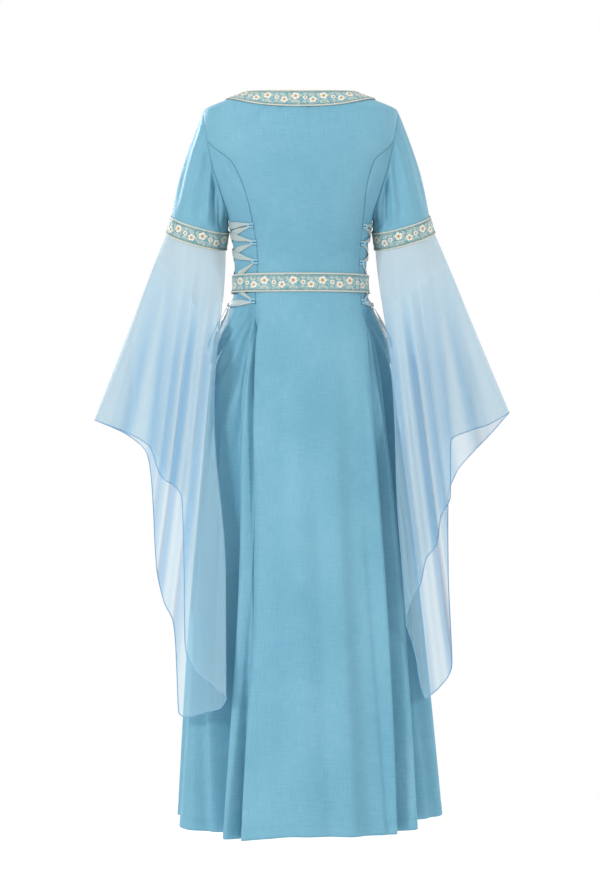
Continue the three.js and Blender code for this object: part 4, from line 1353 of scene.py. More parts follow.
# The hems of the hanging sleeves: turns round the arm, then x and height, as on the left.
LEFT_HEM = (
    (0, 386, -597),
    (0.05, 326, -620),
    (0.09, 280, -646),
    (0.13, 256, -701),
    (0.17, 226, -722),
    (0.2, 216, -740),
    (0.25, 211, -872),
    (0.3, 208, -1002),
    (0.36, 193, -1044),
    (0.43, 149, -1082),
    (0.5, 132, -1094),
    (0.54, 142, -1113),
    (0.58, 180, -1128),
    (0.62, 206, -1135),
    (0.66, 220, -1129),
    (0.7, 224, -1057),
    (0.74, 227, -1006),
    (0.78, 232, -964),
    (0.81, 249, -931),
    (0.84, 262, -885),
    (0.88, 268, -830),
    (0.92, 274, -735),
    (0.95, 285, -664),
    (0.98, 328, -624),
    (1, 386, -597),
)
RIGHT_HEM = (
    (0, 391, -583),
    (0.05, 348, -607),
    (0.09, 316, -617),
    (0.13, 278, -637),
    (0.17, 277, -707),
    (0.21, 276, -739),
    (0.25, 256, -779),
    (0.3, 250, -823),
    (0.35, 228, -851),
    (0.4, 217, -897),
    (0.45, 198, -926),
    (0.5, 190, -963),
    (0.53, 195, -980),
    (0.57, 202, -1000),
    (0.61, 209, -1030),
    (0.65, 218, -1080),
    (0.68, 228, -1102),
    (0.71, 254, -1084),
    (0.74, 278, -1044),
    (0.79, 272, -880),
    (0.84, 273, -746),
    (0.9, 290, -697),
    (0.94, 328, -655),
    (0.97, 357, -624),
    (1, 391, -583),
)
# How far back the middle between the two layers lies: by x, at the upper and lower heights.
DRAPE_MIDDLE = (
    (130, 100, 150),
    (190, 84, 135),
    (228, 52, 108),
    (255, 20, 82),
    (281, -18, 55),
    (315, -80, 20),
    (350, -84, 0),
    (391, -80, -10),
)
# Folds that both layers share, the five main ones first: x at the top and at the foot, depth and
# width.
DRAPE_FOLDS = (
    (251, 416, 6, 13),
    (231, 325, 7, 11),
    (205, 299, 8, 9),
    (177, 267, 8, 9),
    (151, 230, 7, 9),
    (262, 455, 2.0, 7),
    (241, 372, -2.0, 5),
    (218, 312, 2.0, 5),
    (212, 306, -2.2, 4),
    (196, 287, 2.4, 4),
    (190, 281, -2.0, 4),
    (184, 274, 5.0, 5),
    (170, 258, -2.0, 4),
    (164, 248, 2.6, 4.5),
    (157, 239, -2.0, 4),
    (145, 220, 2.4, 4.5),
    (140, 205, -1.8, 4),
    (136, 190, 2.2, 4),
)
FOLDS_TOP, FOLDS_FOOT, DRAPE_RIB = -300.0, -1000.0, 5.0
# The heights at which the middle leaves the arm, then is at the table's upper column behind the
# skirt or in front of it, and then starts and ends its way to the lower column.
MIDDLE_TOP, MIDDLE_BEHIND, MIDDLE_BEFORE = -250.0, -480.0, -650.0
MIDDLE_TURNS, MIDDLE_FOOT = -650.0, -1050.0


@dataclass
class HangingSleeve:
    """One long chiffon sleeve, a wide tube from the arm band to its slanting rolled hem."""

    side: Side
    hem: tuple
    cut: Cut
    turns: int = 300
    rows: int = 170
    belly: float = 20.0
    near_clear: float = 26.0
    far_clear: float = 8.0
    margin: float = 16.0
    fall_away: float = 1.6
    least_gap: float = 9.0
    wrist_gap: float = 20.0
    wrist_x: float = 322.0
    wrist_reach: float = 45.0
    edge: float = 12.0
    start: float = 1.024
    bias: float = 1.1
    above_skirt: float = 3.0
    head_ease: float = 6.0
    belly_foot: float = 1.35
    layer_ease: float = 3.0
    ribs_over: float = 200.0
    fold_full: float = 9.0
    roll: float = 0.9

    def skirt_behind(self, x: Array, z: Array) -> Array:
        """How far back the skirt reaches, with a margin on both sides.

        Args:
            x: Places out from the middle.
            z: Heights.

        Returns:
            How far back at each, less and less past the margin.
        """
        angles = np.arange(0, 91, 2.0)
        if self.side is Side.RIGHT:
            angles = 180 - angles
        levels = np.linspace(SKIRT_Z + 1, -1160, 120)
        outline = FORM.flat_point(angles[None], levels[:, None])
        at = np.clip(np.interp(-z, -levels, np.arange(len(levels))), 0, len(levels) - 1.001)
        k = at.astype(int)
        part = (at - k)[..., None]
        px = (outline[k, :, 0] * (1 - part) + outline[k + 1, :, 0] * part) * self.side.value
        py = outline[k, :, 1] * (1 - part) + outline[k + 1, :, 1] * part
        past = np.maximum(0, np.abs(px - x[..., None]) - self.margin)
        return np.max(py - self.fall_away * past, -1)

    def middle(self, x: Array, z: Array) -> tuple[Array, Array]:
        """How far back the middle between the layers lies at places, and half the gap there."""
        keys, upper, lower = (list(column) for column in zip(*DRAPE_MIDDLE))
        upper, lower = Table(keys, upper)(x), Table(keys, lower)(x)
        foot = np.where(upper > 0, MIDDLE_BEHIND, MIDDLE_BEFORE)
        down = (MIDDLE_TOP - z) / (MIDDLE_TOP - foot)
        on = np.clip((MIDDLE_TURNS - z) / (MIDDLE_TURNS - MIDDLE_FOOT), 0, 1)
        wide = np.exp(-(((x - self.wrist_x) / self.wrist_reach) ** 2))
        gap = self.least_gap + self.wrist_gap * wide * (1 - on)
        return upper * np.clip(down, 0, 1) + (lower - upper) * on, gap

    def folds(self, x: Array, z: Array) -> Array:
        """How deep the hanging folds are at places."""
        t = (FOLDS_TOP - z) / (FOLDS_TOP - FOLDS_FOOT)
        depth = np.zeros(x.shape)
        for top, foot, deep, wide in DRAPE_FOLDS:
            depth += deep * np.exp(-(((x - top - (foot - top) * t) / wide) ** 2))
        return depth * np.clip(t * 3.5, 0, 1)

    def grid(self) -> Array:
        """The sleeve's points, in the left sleeve's own sense.

        Whatever moves one layer by its place moves the other too, so they never meet.
        """
        turn = np.arange(self.turns)[None] / self.turns
        v = np.linspace(0, 1, self.rows)[:, None] ** self.bias
        keys = [row[0] for row in self.hem]
        foot_x, foot_z = (Table(keys, [row[k] for row in self.hem])(turn) for k in (1, 2))
        head = arm_ring(np.full(1, self.start), turn)
        x = head[..., 0] + (foot_x - head[..., 0]) * v
        y = head[..., 1] * (1 - v)
        z = head[..., 2] + (foot_z - head[..., 2]) * v
        outwards, layer = circle(turn)
        at_body = np.maximum(0, -outwards)
        x = x + self.belly * at_body * np.sin(np.pi * np.minimum(1, v * self.belly_foot)) ** 2
        middle, gap = self.middle(x, z)
        outer, inner = self.hem[0][1], Table(keys, [row[1] for row in self.hem])(0.5)
        from_edge = np.clip(np.minimum(outer - foot_x, foot_x - inner) / self.edge, 0, 1)
        apart_by = gap * np.sign(layer) * np.sqrt(from_edge)
        y = y + np.minimum(1, v * self.head_ease) * (middle + apart_by)
        near = np.clip(0.5 + self.layer_ease * layer, 0, 1)
        spread = (self.near_clear - self.far_clear) * near
        above = self.above_skirt * np.maximum(0, z - SKIRT_Z)
        rest = self.skirt_behind(x, z) - above + self.far_clear + spread
        ribs = DRAPE_RIB * np.clip((FOLDS_TOP - z) / self.ribs_over, 0, 1)
        y = np.maximum(y, rest) + ribs - self.folds(x, z)
        return np.stack([x, y, z], -1)

    def gathered_and_painted_shade(self, grid: Array) -> Array:
        """How closely the chiffon is gathered at each point, from 0 where it hangs flat: painted shade
        in its folds.
        """
        v = np.linspace(0, 1, self.rows)[:, None] ** self.bias
        valley = np.clip(self.folds(grid[..., 0], grid[..., 2]) / self.fold_full, 0, 1)
        step = np.roll(grid, -1, 1) - np.roll(grid, 1, 1)
        steep = np.abs(step[..., 1]) / (np.abs(step[..., 0]) + 0.5)
        return np.clip((0.6 * valley + 0.12 * np.clip(steep / 2.5, 0, 1)) * smooth(v * 4), 0, 1)

    def make(self, finish: bpy.types.Material, rolled: bpy.types.Material) -> None:
        """Makes the sleeve and its rolled hem.

        Args:
            finish: The chiffon.
            rolled: The chiffon of the hem's roll.
        """
        grid = self.grid()
        turn = np.arange(self.turns)[None] / self.turns
        c, k = circle(turn)
        away = np.stack([0.3 * c, k, 0 * turn], -1) * np.ones(grid.shape)
        data = sheet_of(grid, away, True)
        # The tint is painted shade: darker, more opaque chiffon in fold valleys and on steep slopes.
        data.tint = self.gathered_and_painted_shade(grid).ravel()
        roll = on_side(tube_of(grid[-1], away[-1], self.roll, 0.8, 6, True), self.side)
        word = self.side.word
        piece = object_of(f"sleeve_drape_{word}_chiffon", on_side(data, self.side), finish)
        hem = object_of(f"sleeve_drape_{word}_hem", roll, rolled)
        hand_over(hem)
        node, trim = f"sleeve_drape_{word}", f"arm_trim_{word}"
        hand_over(piece, [node])


# ---- the flowered bands -------------------------------------------------------------------------
class BandSurface:
    """A band's face as a grid, read along it and across it."""

    def __init__(self, points: Array, normals: Array, width: float) -> None:
        """Measures the band along its middle.

        Args:
            points: Rows from its upper edge to its lower edge, closed along the band.
            normals: The direction off the band at each point.
            width: Its width.
        """
        self.points = np.concatenate([points, points[:, :1]], 1)
        self.normals = np.concatenate([normals, normals[:, :1]], 1)
        self.width = width
        middle = self.points[len(points) // 2]
        steps = np.linalg.norm(np.diff(middle, axis=0), axis=1)
        self.places = np.concatenate([[0], np.cumsum(steps)])
        self.length = float(self.places[-1])

    def at(self, along: Array, across: Array, height: Array) -> Array:
        """Points on or over the band.

        Args:
            along: Millimetres along its middle.
            across: Millimetres from its middle towards its upper edge.
            height: Millimetres off its face.

        Returns:
            The points.
        """
        count = self.points.shape[1]
        i = np.interp(along % self.length, self.places, np.arange(count))
        j = np.clip((0.5 - across / self.width), 0, 1) * (len(self.points) - 1)
        i0 = np.minimum(i.astype(int), count - 2)
        j0 = np.minimum(j.astype(int), len(self.points) - 2)
        a, b = (i - i0)[..., None], (j - j0)[..., None]

        def between(grid: Array) -> Array:
            """The grid at the places, from its four nearest points."""
            upper = grid[j0, i0] * (1 - a) + grid[j0, i0 + 1] * a
            lower = grid[j0 + 1, i0] * (1 - a) + grid[j0 + 1, i0 + 1] * a
            return upper * (1 - b) + lower * b

        return between(self.points) + between(self.normals) * np.asarray(height)[..., None]


def turned_by(way: float, u: float, v: float) -> tuple[float, float]:
    """A place in the plane, turned by an angle in radians."""
    c, k = math.cos(way), math.sin(way)
    return u * c - v * k, u * k + v * c


@dataclass
class FloweredBand:
    """A jacquard band: ground, scrolling stem, leaves, two sizes of flower, piping, gold rows."""

    name: str
    surface: BandSurface
    rests_on: tuple[str, ...]
    cut: Cut
    side: Side = Side.LEFT
    wall: float = 0.9
    pattern: float = 52.5
    petals: int = 5
    # Shares of a flower's radius: a petal's middle, its half length and half width, and the eye.
    petal_out: float = 0.54
    petal_long: float = 0.46
    petal_wide: float = 0.43
    eye: float = 0.24
    notch: float = 0.16
    notch_reach: float = 0.35
    leaf_wide: float = 2.9
    bud: tuple[float, float] = (2.1, 2.0)
    bud_out: float = 4.7
    bud_spread: float = 26.0
    stem_half: float = 0.55
    stem_wave: float = 4.6
    stem_curl: float = 1.2
    stem_step: float = 0.9
    piping: float = 1.25
    piping_inset: float = 0.4
    gold_inset: float = 3.9
    gold_stitch: tuple[float, float, float] = (2.7, 1.9, 0.95)
    # Each flower: its place along the pattern, its place across the band and its radius.
    flowers: tuple = ((0.0, 4.0, 7.9), (0.34, 0.5, 4.8), (0.61, -3.6, 7.0))
    # Each spray: its place along the pattern, its place across the band and the way that it points.
    sprigs: tuple = (
        (0.0, -4.6, 268),
        (0.15, -8.6, 200),
        (0.16, 3.0, 84),
        (0.34, 6.2, 95),
        (0.33, -5.4, 262),
        (0.48, -6.0, 300),
        (0.47, 6.6, 20),
        (0.61, 4.0, 88),
        (0.75, 6.8, 10),
        (0.78, -1.4, 250),
        (0.86, -8.4, 350),
        (0.88, 1.2, 120),
    )

    def flower(self, radius: float, turn: float) -> tuple[Array, Array, Array]:
        """A five-petalled flower, flat on the band.

        Args:
            radius: From its middle to a petal's tip.
            turn: How far it is turned, in degrees.

        Returns:
            Its points along, across and off the band, its faces and its tint.
        """
        points, faces, tint = [], [], []
        outline = 12
        for petal in range(self.petals):
            way = math.radians(turn + 360 / self.petals * petal)
            first = len(points)
            middle = self.petal_out * radius
            points.append((middle * math.cos(way), middle * math.sin(way), 0.75))
            tint.append(0.0)
            for k in range(outline):
                a = 2 * math.pi * k / outline
                notch = 1
                for tip in (0, 2 * math.pi):
                    notch -= self.notch * math.exp(-(((a - tip) / self.notch_reach) ** 2))
                u = middle + self.petal_long * radius * math.cos(a) * notch
                w = self.petal_wide * radius * math.sin(a)
                points.append((*turned_by(way, u, w), 0.2))
                tint.append(0.75 if math.cos(a) < -0.4 else 0.05)
                faces.append((first, first + 1 + k, first + 1 + (k + 1) % outline))
        first = len(points)
        points.append((0, 0, 1.1))
        tint.append(0.85)
        for k in range(8):
            a = 2 * math.pi * k / 8
            eye = self.eye * radius
            points.append((eye * math.cos(a), eye * math.sin(a), 0.7))
            tint.append(1.0)
            faces.append((first, first + 1 + k, first + 1 + (k + 1) % 8))
        return np.array(points), np.array(faces), np.array(tint)

    def leaf(self, length: float, wide: float, turn: float) -> tuple[Array, Array, Array]:
        """A pointed leaf with a raised rib, its stalk at the origin.

        Args:
            length: From its stalk to its tip.
            wide: Its greatest width.
            turn: The way that it points, in degrees.

        Returns:
            Its points along, across and off the band, its faces and its tint.
        """
        stations = ((0.0, 0.0), (0.25, 0.8), (0.55, 1.0), (0.82, 0.6), (1.0, 0.0))
        way = math.radians(turn)
        points, tint = [], []
        for t, w in stations:
            for side, height in ((-1, 0.12), (0, 0.4), (1, 0.12)):
                u, v = length * t, side * wide / 2 * w
                points.append((*turned_by(way, u, v), height))
                tint.append(0.7 if side == 0 else 0.0)
        faces = []
        for k in range(len(stations) - 1):
            for s in (0, 1):
                a, b = 3 * k + s, 3 * (k + 1) + s
                faces += [(a, b, b + 1), (a, b + 1, a + 1)]
        return np.array(points), np.array(faces), np.array(tint)

    def lay(self, shape: tuple[Array, Array, Array], along: float, across: float) -> MeshData:
        """A flat shape laid on the band at a place."""
        points, faces, tint = shape
        places = points[:, :2] + (along, across)
        laid = self.surface.at(places[:, 0], places[:, 1], points[:, 2])
        a, b, c = (laid[faces[:, k]] for k in range(3))
        middle = self.surface.at(places[:, 0], places[:, 1], points[:, 2] + 1) - laid
        if float(np.sum(np.cross(b - a, c - a) * middle[faces[:, 0]])) < 0:
            faces = faces[:, ::-1]
        return MeshData(laid, faces, (places * MM)[faces], tint)

    def sprig(self, along: float, across: float, turn: float) -> list[MeshData]:
        """A small spray of three leaves with a bud on either side of its tip.

        Args:
            along: Where its foot lies along the band.
            across: Where its foot lies across the band.
            turn: The way that it points, in degrees.

        Returns:
            Its pieces.
        """
        made = [
            self.lay(self.leaf(length, self.leaf_wide, turn + spread), along, across)
            for length, spread in ((5.2, 0), (4.4, 52), (4.4, -52))
        ]
        for spread in (self.bud_spread, -self.bud_spread):
            way = math.radians(turn + spread)
            place = (along + self.bud_out * math.cos(way), across + self.bud_out * math.sin(way))
            made.append(self.lay(self.leaf(*self.bud, turn + spread), *place))
        return made

    def stem(self, period: float) -> MeshData:
        """The scrolling stem, a narrow raised strip all along the band."""
        count = int(self.surface.length / self.stem_step)
        s = np.arange(count) * self.surface.length / count
        wave = self.stem_wave * np.sin(2 * np.pi * s / period + 0.9)
        wave = wave + self.stem_curl * np.sin(4 * np.pi * s / period)
        half = self.stem_half
        grid = np.stack([
            self.surface.at(s, wave + off, np.full(count, height))
            for off, height in ((-half, 0.08), (0, 0.32), (half, 0.08))
        ])
        away = self.surface.at(s, wave, np.full(count, 1.0)) - self.surface.at(s, wave, 0 * s)
        made = sheet_of(grid, np.broadcast_to(away, grid.shape), True)
        halves = ([0, 1, 2], [0, 2, 3])
        triangles = np.concatenate([made.faces[:, half] for half in halves])
        uv = np.concatenate([made.uv[:, half] for half in halves])
        return MeshData(made.points, triangles, uv, np.full(len(made.points), 0.5))

    def edge(self, across: float, height: float, count: int = 500) -> tuple[Array, Array]:
        """A line along the band, and the direction off the band at its points."""
        s = np.arange(count) * self.surface.length / count
        line = self.surface.at(s, np.full(count, across), np.full(count, height))
        higher = self.surface.at(s, np.full(count, across), np.full(count, height + 1))
        return line, higher - line

    def make(self, wardrobe: Wardrobe, stitches: StitchRow) -> None:
        """Makes the band and everything on it.

        Args:
            wardrobe: The finishes.
            stitches: What sews the gold rows.
        """
        surface = self.surface
        ground = shell_of(surface.points[:, :-1], surface.normals[:, :-1], True, self.wall)
        piece = object_of(f"{self.name}_ground", on_side(ground, self.side), wardrobe.ground)
        hand_over(piece, [self.name])
        count = max(1, round(surface.length / self.pattern))
        period = surface.length / count
        flowers, leaves = [], [self.stem(period)]
        for k in range(count):
            s = k * period
            for along, across, radius in self.flowers:
                turn = 20 + 31 * k + 200 * along
                flowers.append(self.lay(self.flower(radius, turn), s + along * period, across))
            for along, across, turn in self.sprigs:
                leaves += self.sprig(s + along * period, across, turn + 9 * (k % 3))
        for word, parts, finish in (
            ("flowers", flowers, wardrobe.petal),
            ("leaves", leaves, wardrobe.leaf),
        ):
            laid = object_of(f"{self.name}_{word}", on_side(joined(parts), self.side), finish)
            hand_over(laid)
        half = surface.width / 2
        rims = []
        for across in (half - self.piping_inset, self.piping_inset - half):
            line, off = self.edge(across, 0.1)
            rims.append(tube_of(line, off, self.piping, 0.9, 8, True))
        cord = object_of(f"{self.name}_piping", on_side(joined(rims), self.side), wardrobe.piping)
        hand_over(cord)
        rows = []
        for across in (half - self.gold_inset, self.gold_inset - half):
            line, _ = self.edge(across, 0.25)
            rows.append(line * (self.side.value, 1, 1))
        name = f"{self.name}_gold_rows"
        stitches.sew(name, rows, True, self.gold_stitch, wardrobe.gold)


def neck_line(turn: Array) -> Array:
    """The neckline at turns round the neck."""
    angle = 2 * np.pi * turn
    c, k = np.cos(angle), np.sin(angle)
    x = NECK_HALF * np.sign(c) * np.abs(c) ** (2 / NECK_SQUARE)
    front = k < 0
    z = np.where(front, FORM.top(x, True), FORM.top(x, False))
    y = np.where(front, -FORM.reach(x, z, True), FORM.reach(x, z, False))
    return FORM.onto_hill(np.stack([x, y, z], -1))


NECK_LIFT, BELT_LIFT, ARM_LIFT = 1.9, 1.6, 1.6
BELT_OVER_RIBBONS = 3.4
RIBBONS_AT, RIBBONS_REACH = (8, 188), 42


def neck_surface() -> BandSurface:
    """The neck trim's face, marched outwards over the shoulders from the neckline."""
    count, steps = 560, 16
    turn = np.arange(count) / count
    p = neck_line(turn)
    along = unit(neck_line(turn + 0.004) - neck_line(turn - 0.004))
    rows, normals = [], []
    for _ in range(steps + 1):
        normal = unit(FORM.hill_slope(p))
        rows.append(p + normal * NECK_LIFT)
        normals.append(normal)
        outward = unit(np.cross(normal, along))
        level = p * (1, 1, 0)
        outward = outward * np.sign(np.sum(outward * level, -1, keepdims=True))
        p = FORM.onto_hill(p + outward * TRIM_WIDTH / steps)
    return BandSurface(np.array(rows), np.array(normals), TRIM_WIDTH)


def belt_surface() -> BandSurface:
    """The belt's face, which stands out a little over the crossed ribbons."""
    columns, rows = 480, 9
    angle = 360 * np.arange(columns)[None] / columns
    z = np.linspace(BELT_TOP_Z, BELT_FOOT_Z, rows)[:, None]
    near = np.minimum(*(apart(angle, at) for at in RIBBONS_AT)) / RIBBONS_REACH
    out = BELT_LIFT + BELT_OVER_RIBBONS * np.exp(-(near**4))
    angle, z, out = np.broadcast_arrays(angle, z, out)
    return BandSurface(FORM.point(angle, z, out), FORM.normal(angle, z), TRIM_WIDTH)


def arm_surface() -> BandSurface:
    """The left arm band's face."""
    columns, rows = 320, 9
    turn = np.arange(columns)[None] / columns
    t = np.linspace(0.01, 0.99, rows)[:, None]
    turn, t = np.broadcast_arrays(turn, t)
    return BandSurface(arm_ring(t, turn, ARM_LIFT), arm_away(turn), TRIM_WIDTH)


# ---- the lacing ---------------------------------------------------------------------------------
LACE_ROWS = (-243.0, -274.0, -309.0, -381.0)
KNOT_Z = -385.0
# A lacing loop's points: how far out of the seam, up from its level, and off the cloth.
LOOP_RUN = (-1.5, 0.5, 3, 5.5, 7.8, 9.4, 10.1, 9.4, 7.8, 5.5, 3, 0.5, -1.5)
LOOP_LEVEL = (2.3, 2.5, 2.6, 2.4, 2.0, 1.2, 0, -1.2, -2.0, -2.4, -2.6, -2.5, -2.3)
LOOP_RISE = (0.2, 1.3, 2.2, 3.0, 3.8, 4.3, 4.4, 4.3, 3.8, 3.0, 2.2, 1.3, 0.2)


@dataclass
class SideLacing:
    """One side's lacing: loops on both seams, crossed ribbon, and its knot, bow and free end."""

    side: Side
    width: float = 12.5
    pinched: float = 3.6
    wall: float = 0.5
    lay: float = 1.7
    layer: float = 1.3
    curl: float = 0.35
    waver: float = 0.16
    loop_in: float = 3.4
    loop_shift: float = 2.6
    loop_radius: float = 1.7
    knot_radius: float = 1.5
    knot_rise: float = 3.6
    knot_half: float = 6.6
    knot_off: float = 4.0
    hang_below: float = 5.1
    hang_width: float = 7.0
    hang_near: float = 0.7
    hang_out: float = 1.5
    twist: float = 42.0
    twist_over: float = 28.0
    bow_drop: float = 68.0
    bow_lift: float = 2.4
    bow_shut: float = 2.2
    bow_open: float = 9.0
    bow_aside: float = 2.0
    tail_drop: float = 104.0
    tail_lift: float = 2.6
    tail_aside: float = 5.0
    steps: int = 40
    # Each crossing: the seam above, the seam below, its layer and its way in the nodes' names.
    crossings: tuple = ((Seam.BACK, Seam.FRONT, 0, "down"), (Seam.FRONT, Seam.BACK, 1, "up"))

    @property
    def turn(self) -> int:
        """The sense from the back seam to the side."""
        return -self.side.value

    def angle_of(self, seam: Seam, z: float) -> float:
        """The angle of a seam at a height."""
        cut = self.side if seam is Seam.BACK else self.side.other
        off = seam.sign * float(FORM.seam(np.array(z), cut.word))
        return off if self.side is Side.LEFT else 180 - off

    def end(self, seam: Seam, row: int, shift: float) -> tuple[float, float]:
        """Where a strand leaves a loop: its angle and height."""
        z = LACE_ROWS[row]
        return self.angle_of(seam, z) + self.turn * self.loop_in * seam.sign, z + shift

    def ribbon(self, path: Array, out: Array, width: Array) -> MeshData:
        """A soft flat ribbon along a path, its edges a little lower than its middle."""
        tangent = unit(np.gradient(path, axis=0))
        aside = unit(np.cross(tangent, out))
        rows = []
        for k in np.linspace(-1, 1, 9):
            lower = self.curl * k * k + self.waver * math.sin(5 * k)
            rows.append(path + aside * (k * width / 2)[:, None] - out * lower)
        grid = np.stack(rows)
        return shell_of(grid, np.broadcast_to(out, grid.shape), False, self.wall)

    def strand(
        self, start: tuple[float, float], end: tuple[float, float], first: float, last: float
    ) -> MeshData:
        """One crossing of the ribbon from loop to loop.

        Args:
            start: Angle and height of its first end.
            end: Angle and height of its other end.
            first: Its layer at the first end.
            last: Its layer at the other end.

        Returns:
            The strand, pinched in the loops and full width between them.
        """
        t = np.linspace(0, 1, self.steps)
        angle = start[0] + (end[0] - start[0]) * t
        z = start[1] + (end[1] - start[1]) * t
        layer = first + (last - first) * t
        path = FORM.point(angle, z, self.lay + self.layer * layer)
        width = self.pinched + (self.width - self.pinched) * smooth(np.minimum(t, 1 - t) * 3)
        return self.ribbon(path, FORM.normal(angle, z), width)

    def loop(self, seam: Seam, row: int) -> MeshData:
        """One bias tube, folded in half with both its ends in the seam."""
        z = LACE_ROWS[row]
        fine = np.linspace(0, len(LOOP_RUN) - 1, self.steps)
        run, level, rise = (
            np.interp(fine, np.arange(len(values)), values)
            for values in (LOOP_RUN, LOOP_LEVEL, LOOP_RISE)
        )
        reach = float(FORM.column("half", np.array(z)))
        angle = self.angle_of(seam, z) + self.turn * seam.sign * np.degrees(run / reach)
        path = FORM.point(angle, z + level, rise)
        out = FORM.normal(angle, z + level)
        return tube_of(path, out, self.loop_radius, 0.55, 10, False)

    def knot(self, angle: float, z: float) -> MeshData:
        """A small tied knot: one strand wound over itself."""
        out = FORM.normal(np.array(angle), np.array(z))
        along = unit(np.cross(out, (0, 0, 1)))
        up = unit(np.cross(along, out))
        t = 2 * np.pi * np.arange(72) / 72
        trefoil = np.stack(
            [np.sin(t) + 2 * np.sin(2 * t), np.cos(t) - 2 * np.cos(2 * t), -1.2 * np.sin(3 * t)], -1
        )
        centre = FORM.point(np.array(angle), np.array(z), self.knot_rise)
        path = centre + (
            along * trefoil[:, :1] * 1.35 + up * trefoil[:, 1:2] * 1.15 + out * trefoil[:, 2:] * 0.9
        )
        facing = unit(path - centre + out * 0.5)
        return tube_of(path, facing, self.knot_radius, 0.6, 8, True)

    def hanging(
        self, angle: float, stations: Sequence[tuple[float, float, float]]
    ) -> tuple[Array, Array]:
        """The path of a ribbon that hangs down the hip.

        Args:
            angle: Where it hangs.
            stations: How far down, how far off the cloth and how far aside each point is.

        Returns:
            The path, and the direction that its face looks at each point.
        """
        down, lift, aside = (np.array(s) for s in zip(*stations))
        top, sign = KNOT_Z - self.hang_below, self.side.value
        turned = smooth(down / self.twist_over)
        turn = math.radians(self.twist) * turned
        near = self.lay + self.hang_near + self.hang_out * turned
        away = np.stack([sign * np.cos(turn), np.sin(turn), 0 * turn], -1)
        axis = np.stack([-sign * np.sin(turn), np.cos(turn), 0 * turn], -1)
        path = FORM.point(angle + aside, top - down, near)
        path = path + away * (lift - self.bow_lift)[:, None]
        tangent = np.gradient(path, axis=0)
        out = unit(np.cross(axis, tangent))
        last = FORM.normal(np.array(float(angle)), np.array(top))
        for k in range(len(out)):
            if float(out[k] @ last) < 0:
                out[k] = -out[k]
            last = out[k]
        return path, out

    def make(self, wardrobe: Wardrobe) -> None:
        """Makes the whole lacing of one side.

        Args:
            wardrobe: The finishes.
        """
        word = self.side.word
        behind = self.side.value
        angle = -self.knot_off if self.side is Side.LEFT else 180 + self.knot_off
        self.bow(angle - behind * self.bow_aside, wardrobe.satin)
        self.tail(angle, behind, wardrobe.satin)
        knot = object_of(f"lacing_{word}_knot", self.knot(angle, KNOT_Z), wardrobe.satin)
        hand_over(knot, [f"lace_knot_{word}"])
        rows = range(len(LACE_ROWS))
        for seam in Seam:
            loops = joined(self.loop(seam, row) for row in rows)
            piece = object_of(f"lacing_{word}_{seam.value}_loops", loops, wardrobe.loop)
            nodes = [f"lace_loop_{seam.value}_{word}_{row + 1}" for row in rows]
            hand_over(piece, nodes)
        shift = self.loop_shift
        strands = [self.strand(*(self.end(seam, 0, shift) for seam in Seam), 1, 0)]
        nodes = [f"lace_{word}_bar"]
        for row in rows[:-1]:
            for upper, lower, layer, way in self.crossings:
                start, end = self.end(upper, row, -shift), self.end(lower, row + 1, shift)
                strands.append(self.strand(start, end, layer, layer))
                nodes.append(f"lace_{word}_{way}_{row + 1}")
        half = math.degrees(self.knot_half / float(FORM.column("half", np.array(KNOT_Z))))
        for layer, seam in enumerate(Seam):
            start = self.end(seam, rows[-1], -shift)
            end = (angle + seam.sign * behind * half, KNOT_Z)
            strands.append(self.strand(start, end, layer, 1))
            nodes.append(f"lace_{word}_tie_{seam.value}")
        piece = object_of(f"lacing_{word}_ribbon", joined(strands), wardrobe.satin)
        hand_over(piece, nodes)

    def bow(self, angle: float, finish: bpy.types.Material) -> None:
        """The hanging bow loop."""
        drop, lift, shut, opening = self.bow_drop, self.bow_lift, self.bow_shut, self.bow_open
        stations = [(drop * t, lift, 0.0) for t in np.linspace(0, 1, 22)]
        for a in np.linspace(0, np.pi, 12)[1:-1]:
            rise = lift + opening / 2 * (1 - math.cos(a))
            stations.append((drop + opening / 2 * math.sin(a), rise, 0.0))
        for t in np.linspace(1, 0, 22):
            stations.append((drop * t, lift + shut + (opening - shut) * t**0.5, 0.0))
        self.free("bow", angle, stations, 0.151, "object", finish)

    def tail(self, angle: float, behind: int, finish: bpy.types.Material) -> None:
        """The free end, cut square."""
        stations = [
            (self.tail_drop * t, self.tail_lift, behind * self.tail_aside * (0.75 + 0.6 * t))
            for t in np.linspace(0, 1, 30)
        ]
        self.free("tail", angle, stations, 0.106, "bare", finish)

    def free(
        self,
        kind: str,
        angle: float,
        stations: Sequence[tuple[float, float, float]],
        length: float,
        far_end: str,
        finish: bpy.types.Material,
    ) -> None:
        """A free run of ribbon, made as a flat strip.

        Args:
            kind: bow or tail.
            angle: Where it hangs.
            stations: Its points, as hanging takes them.
            length: Its length in metres; not used.
            far_end: What is on its far end; not used.
            finish: Its material.
        """
        word = self.side.word
        path, out = self.hanging(angle, stations)
        data = self.ribbon(path, out, np.full(len(path), self.hang_width))
        piece = object_of(f"lacing_{word}_{kind}", data, finish)
        hand_over(piece, [f"lace_{kind}_{word}"])


# ---- the hem's stitching -----------------------------------------------------------------------------
@dataclass
class HemStitching:
    """The line of sewing thread that holds the turned hem."""

    hem_up: float = 20.0
    off: float = 0.55
    points: int = 1400
    stitch: tuple[float, float, float] = (4.2, 2.8, 0.6)

    def make(self, wardrobe: Wardrobe, stitches: StitchRow) -> None:
        """Sews the line."""
        angle = np.linspace(0, 360, self.points, endpoint=False)
        hem = FORM.point(angle, FORM.hem(angle) + self.hem_up, self.off)
        stitches.sew("hem_stitches", [hem], True, self.stitch, wardrobe.thread)


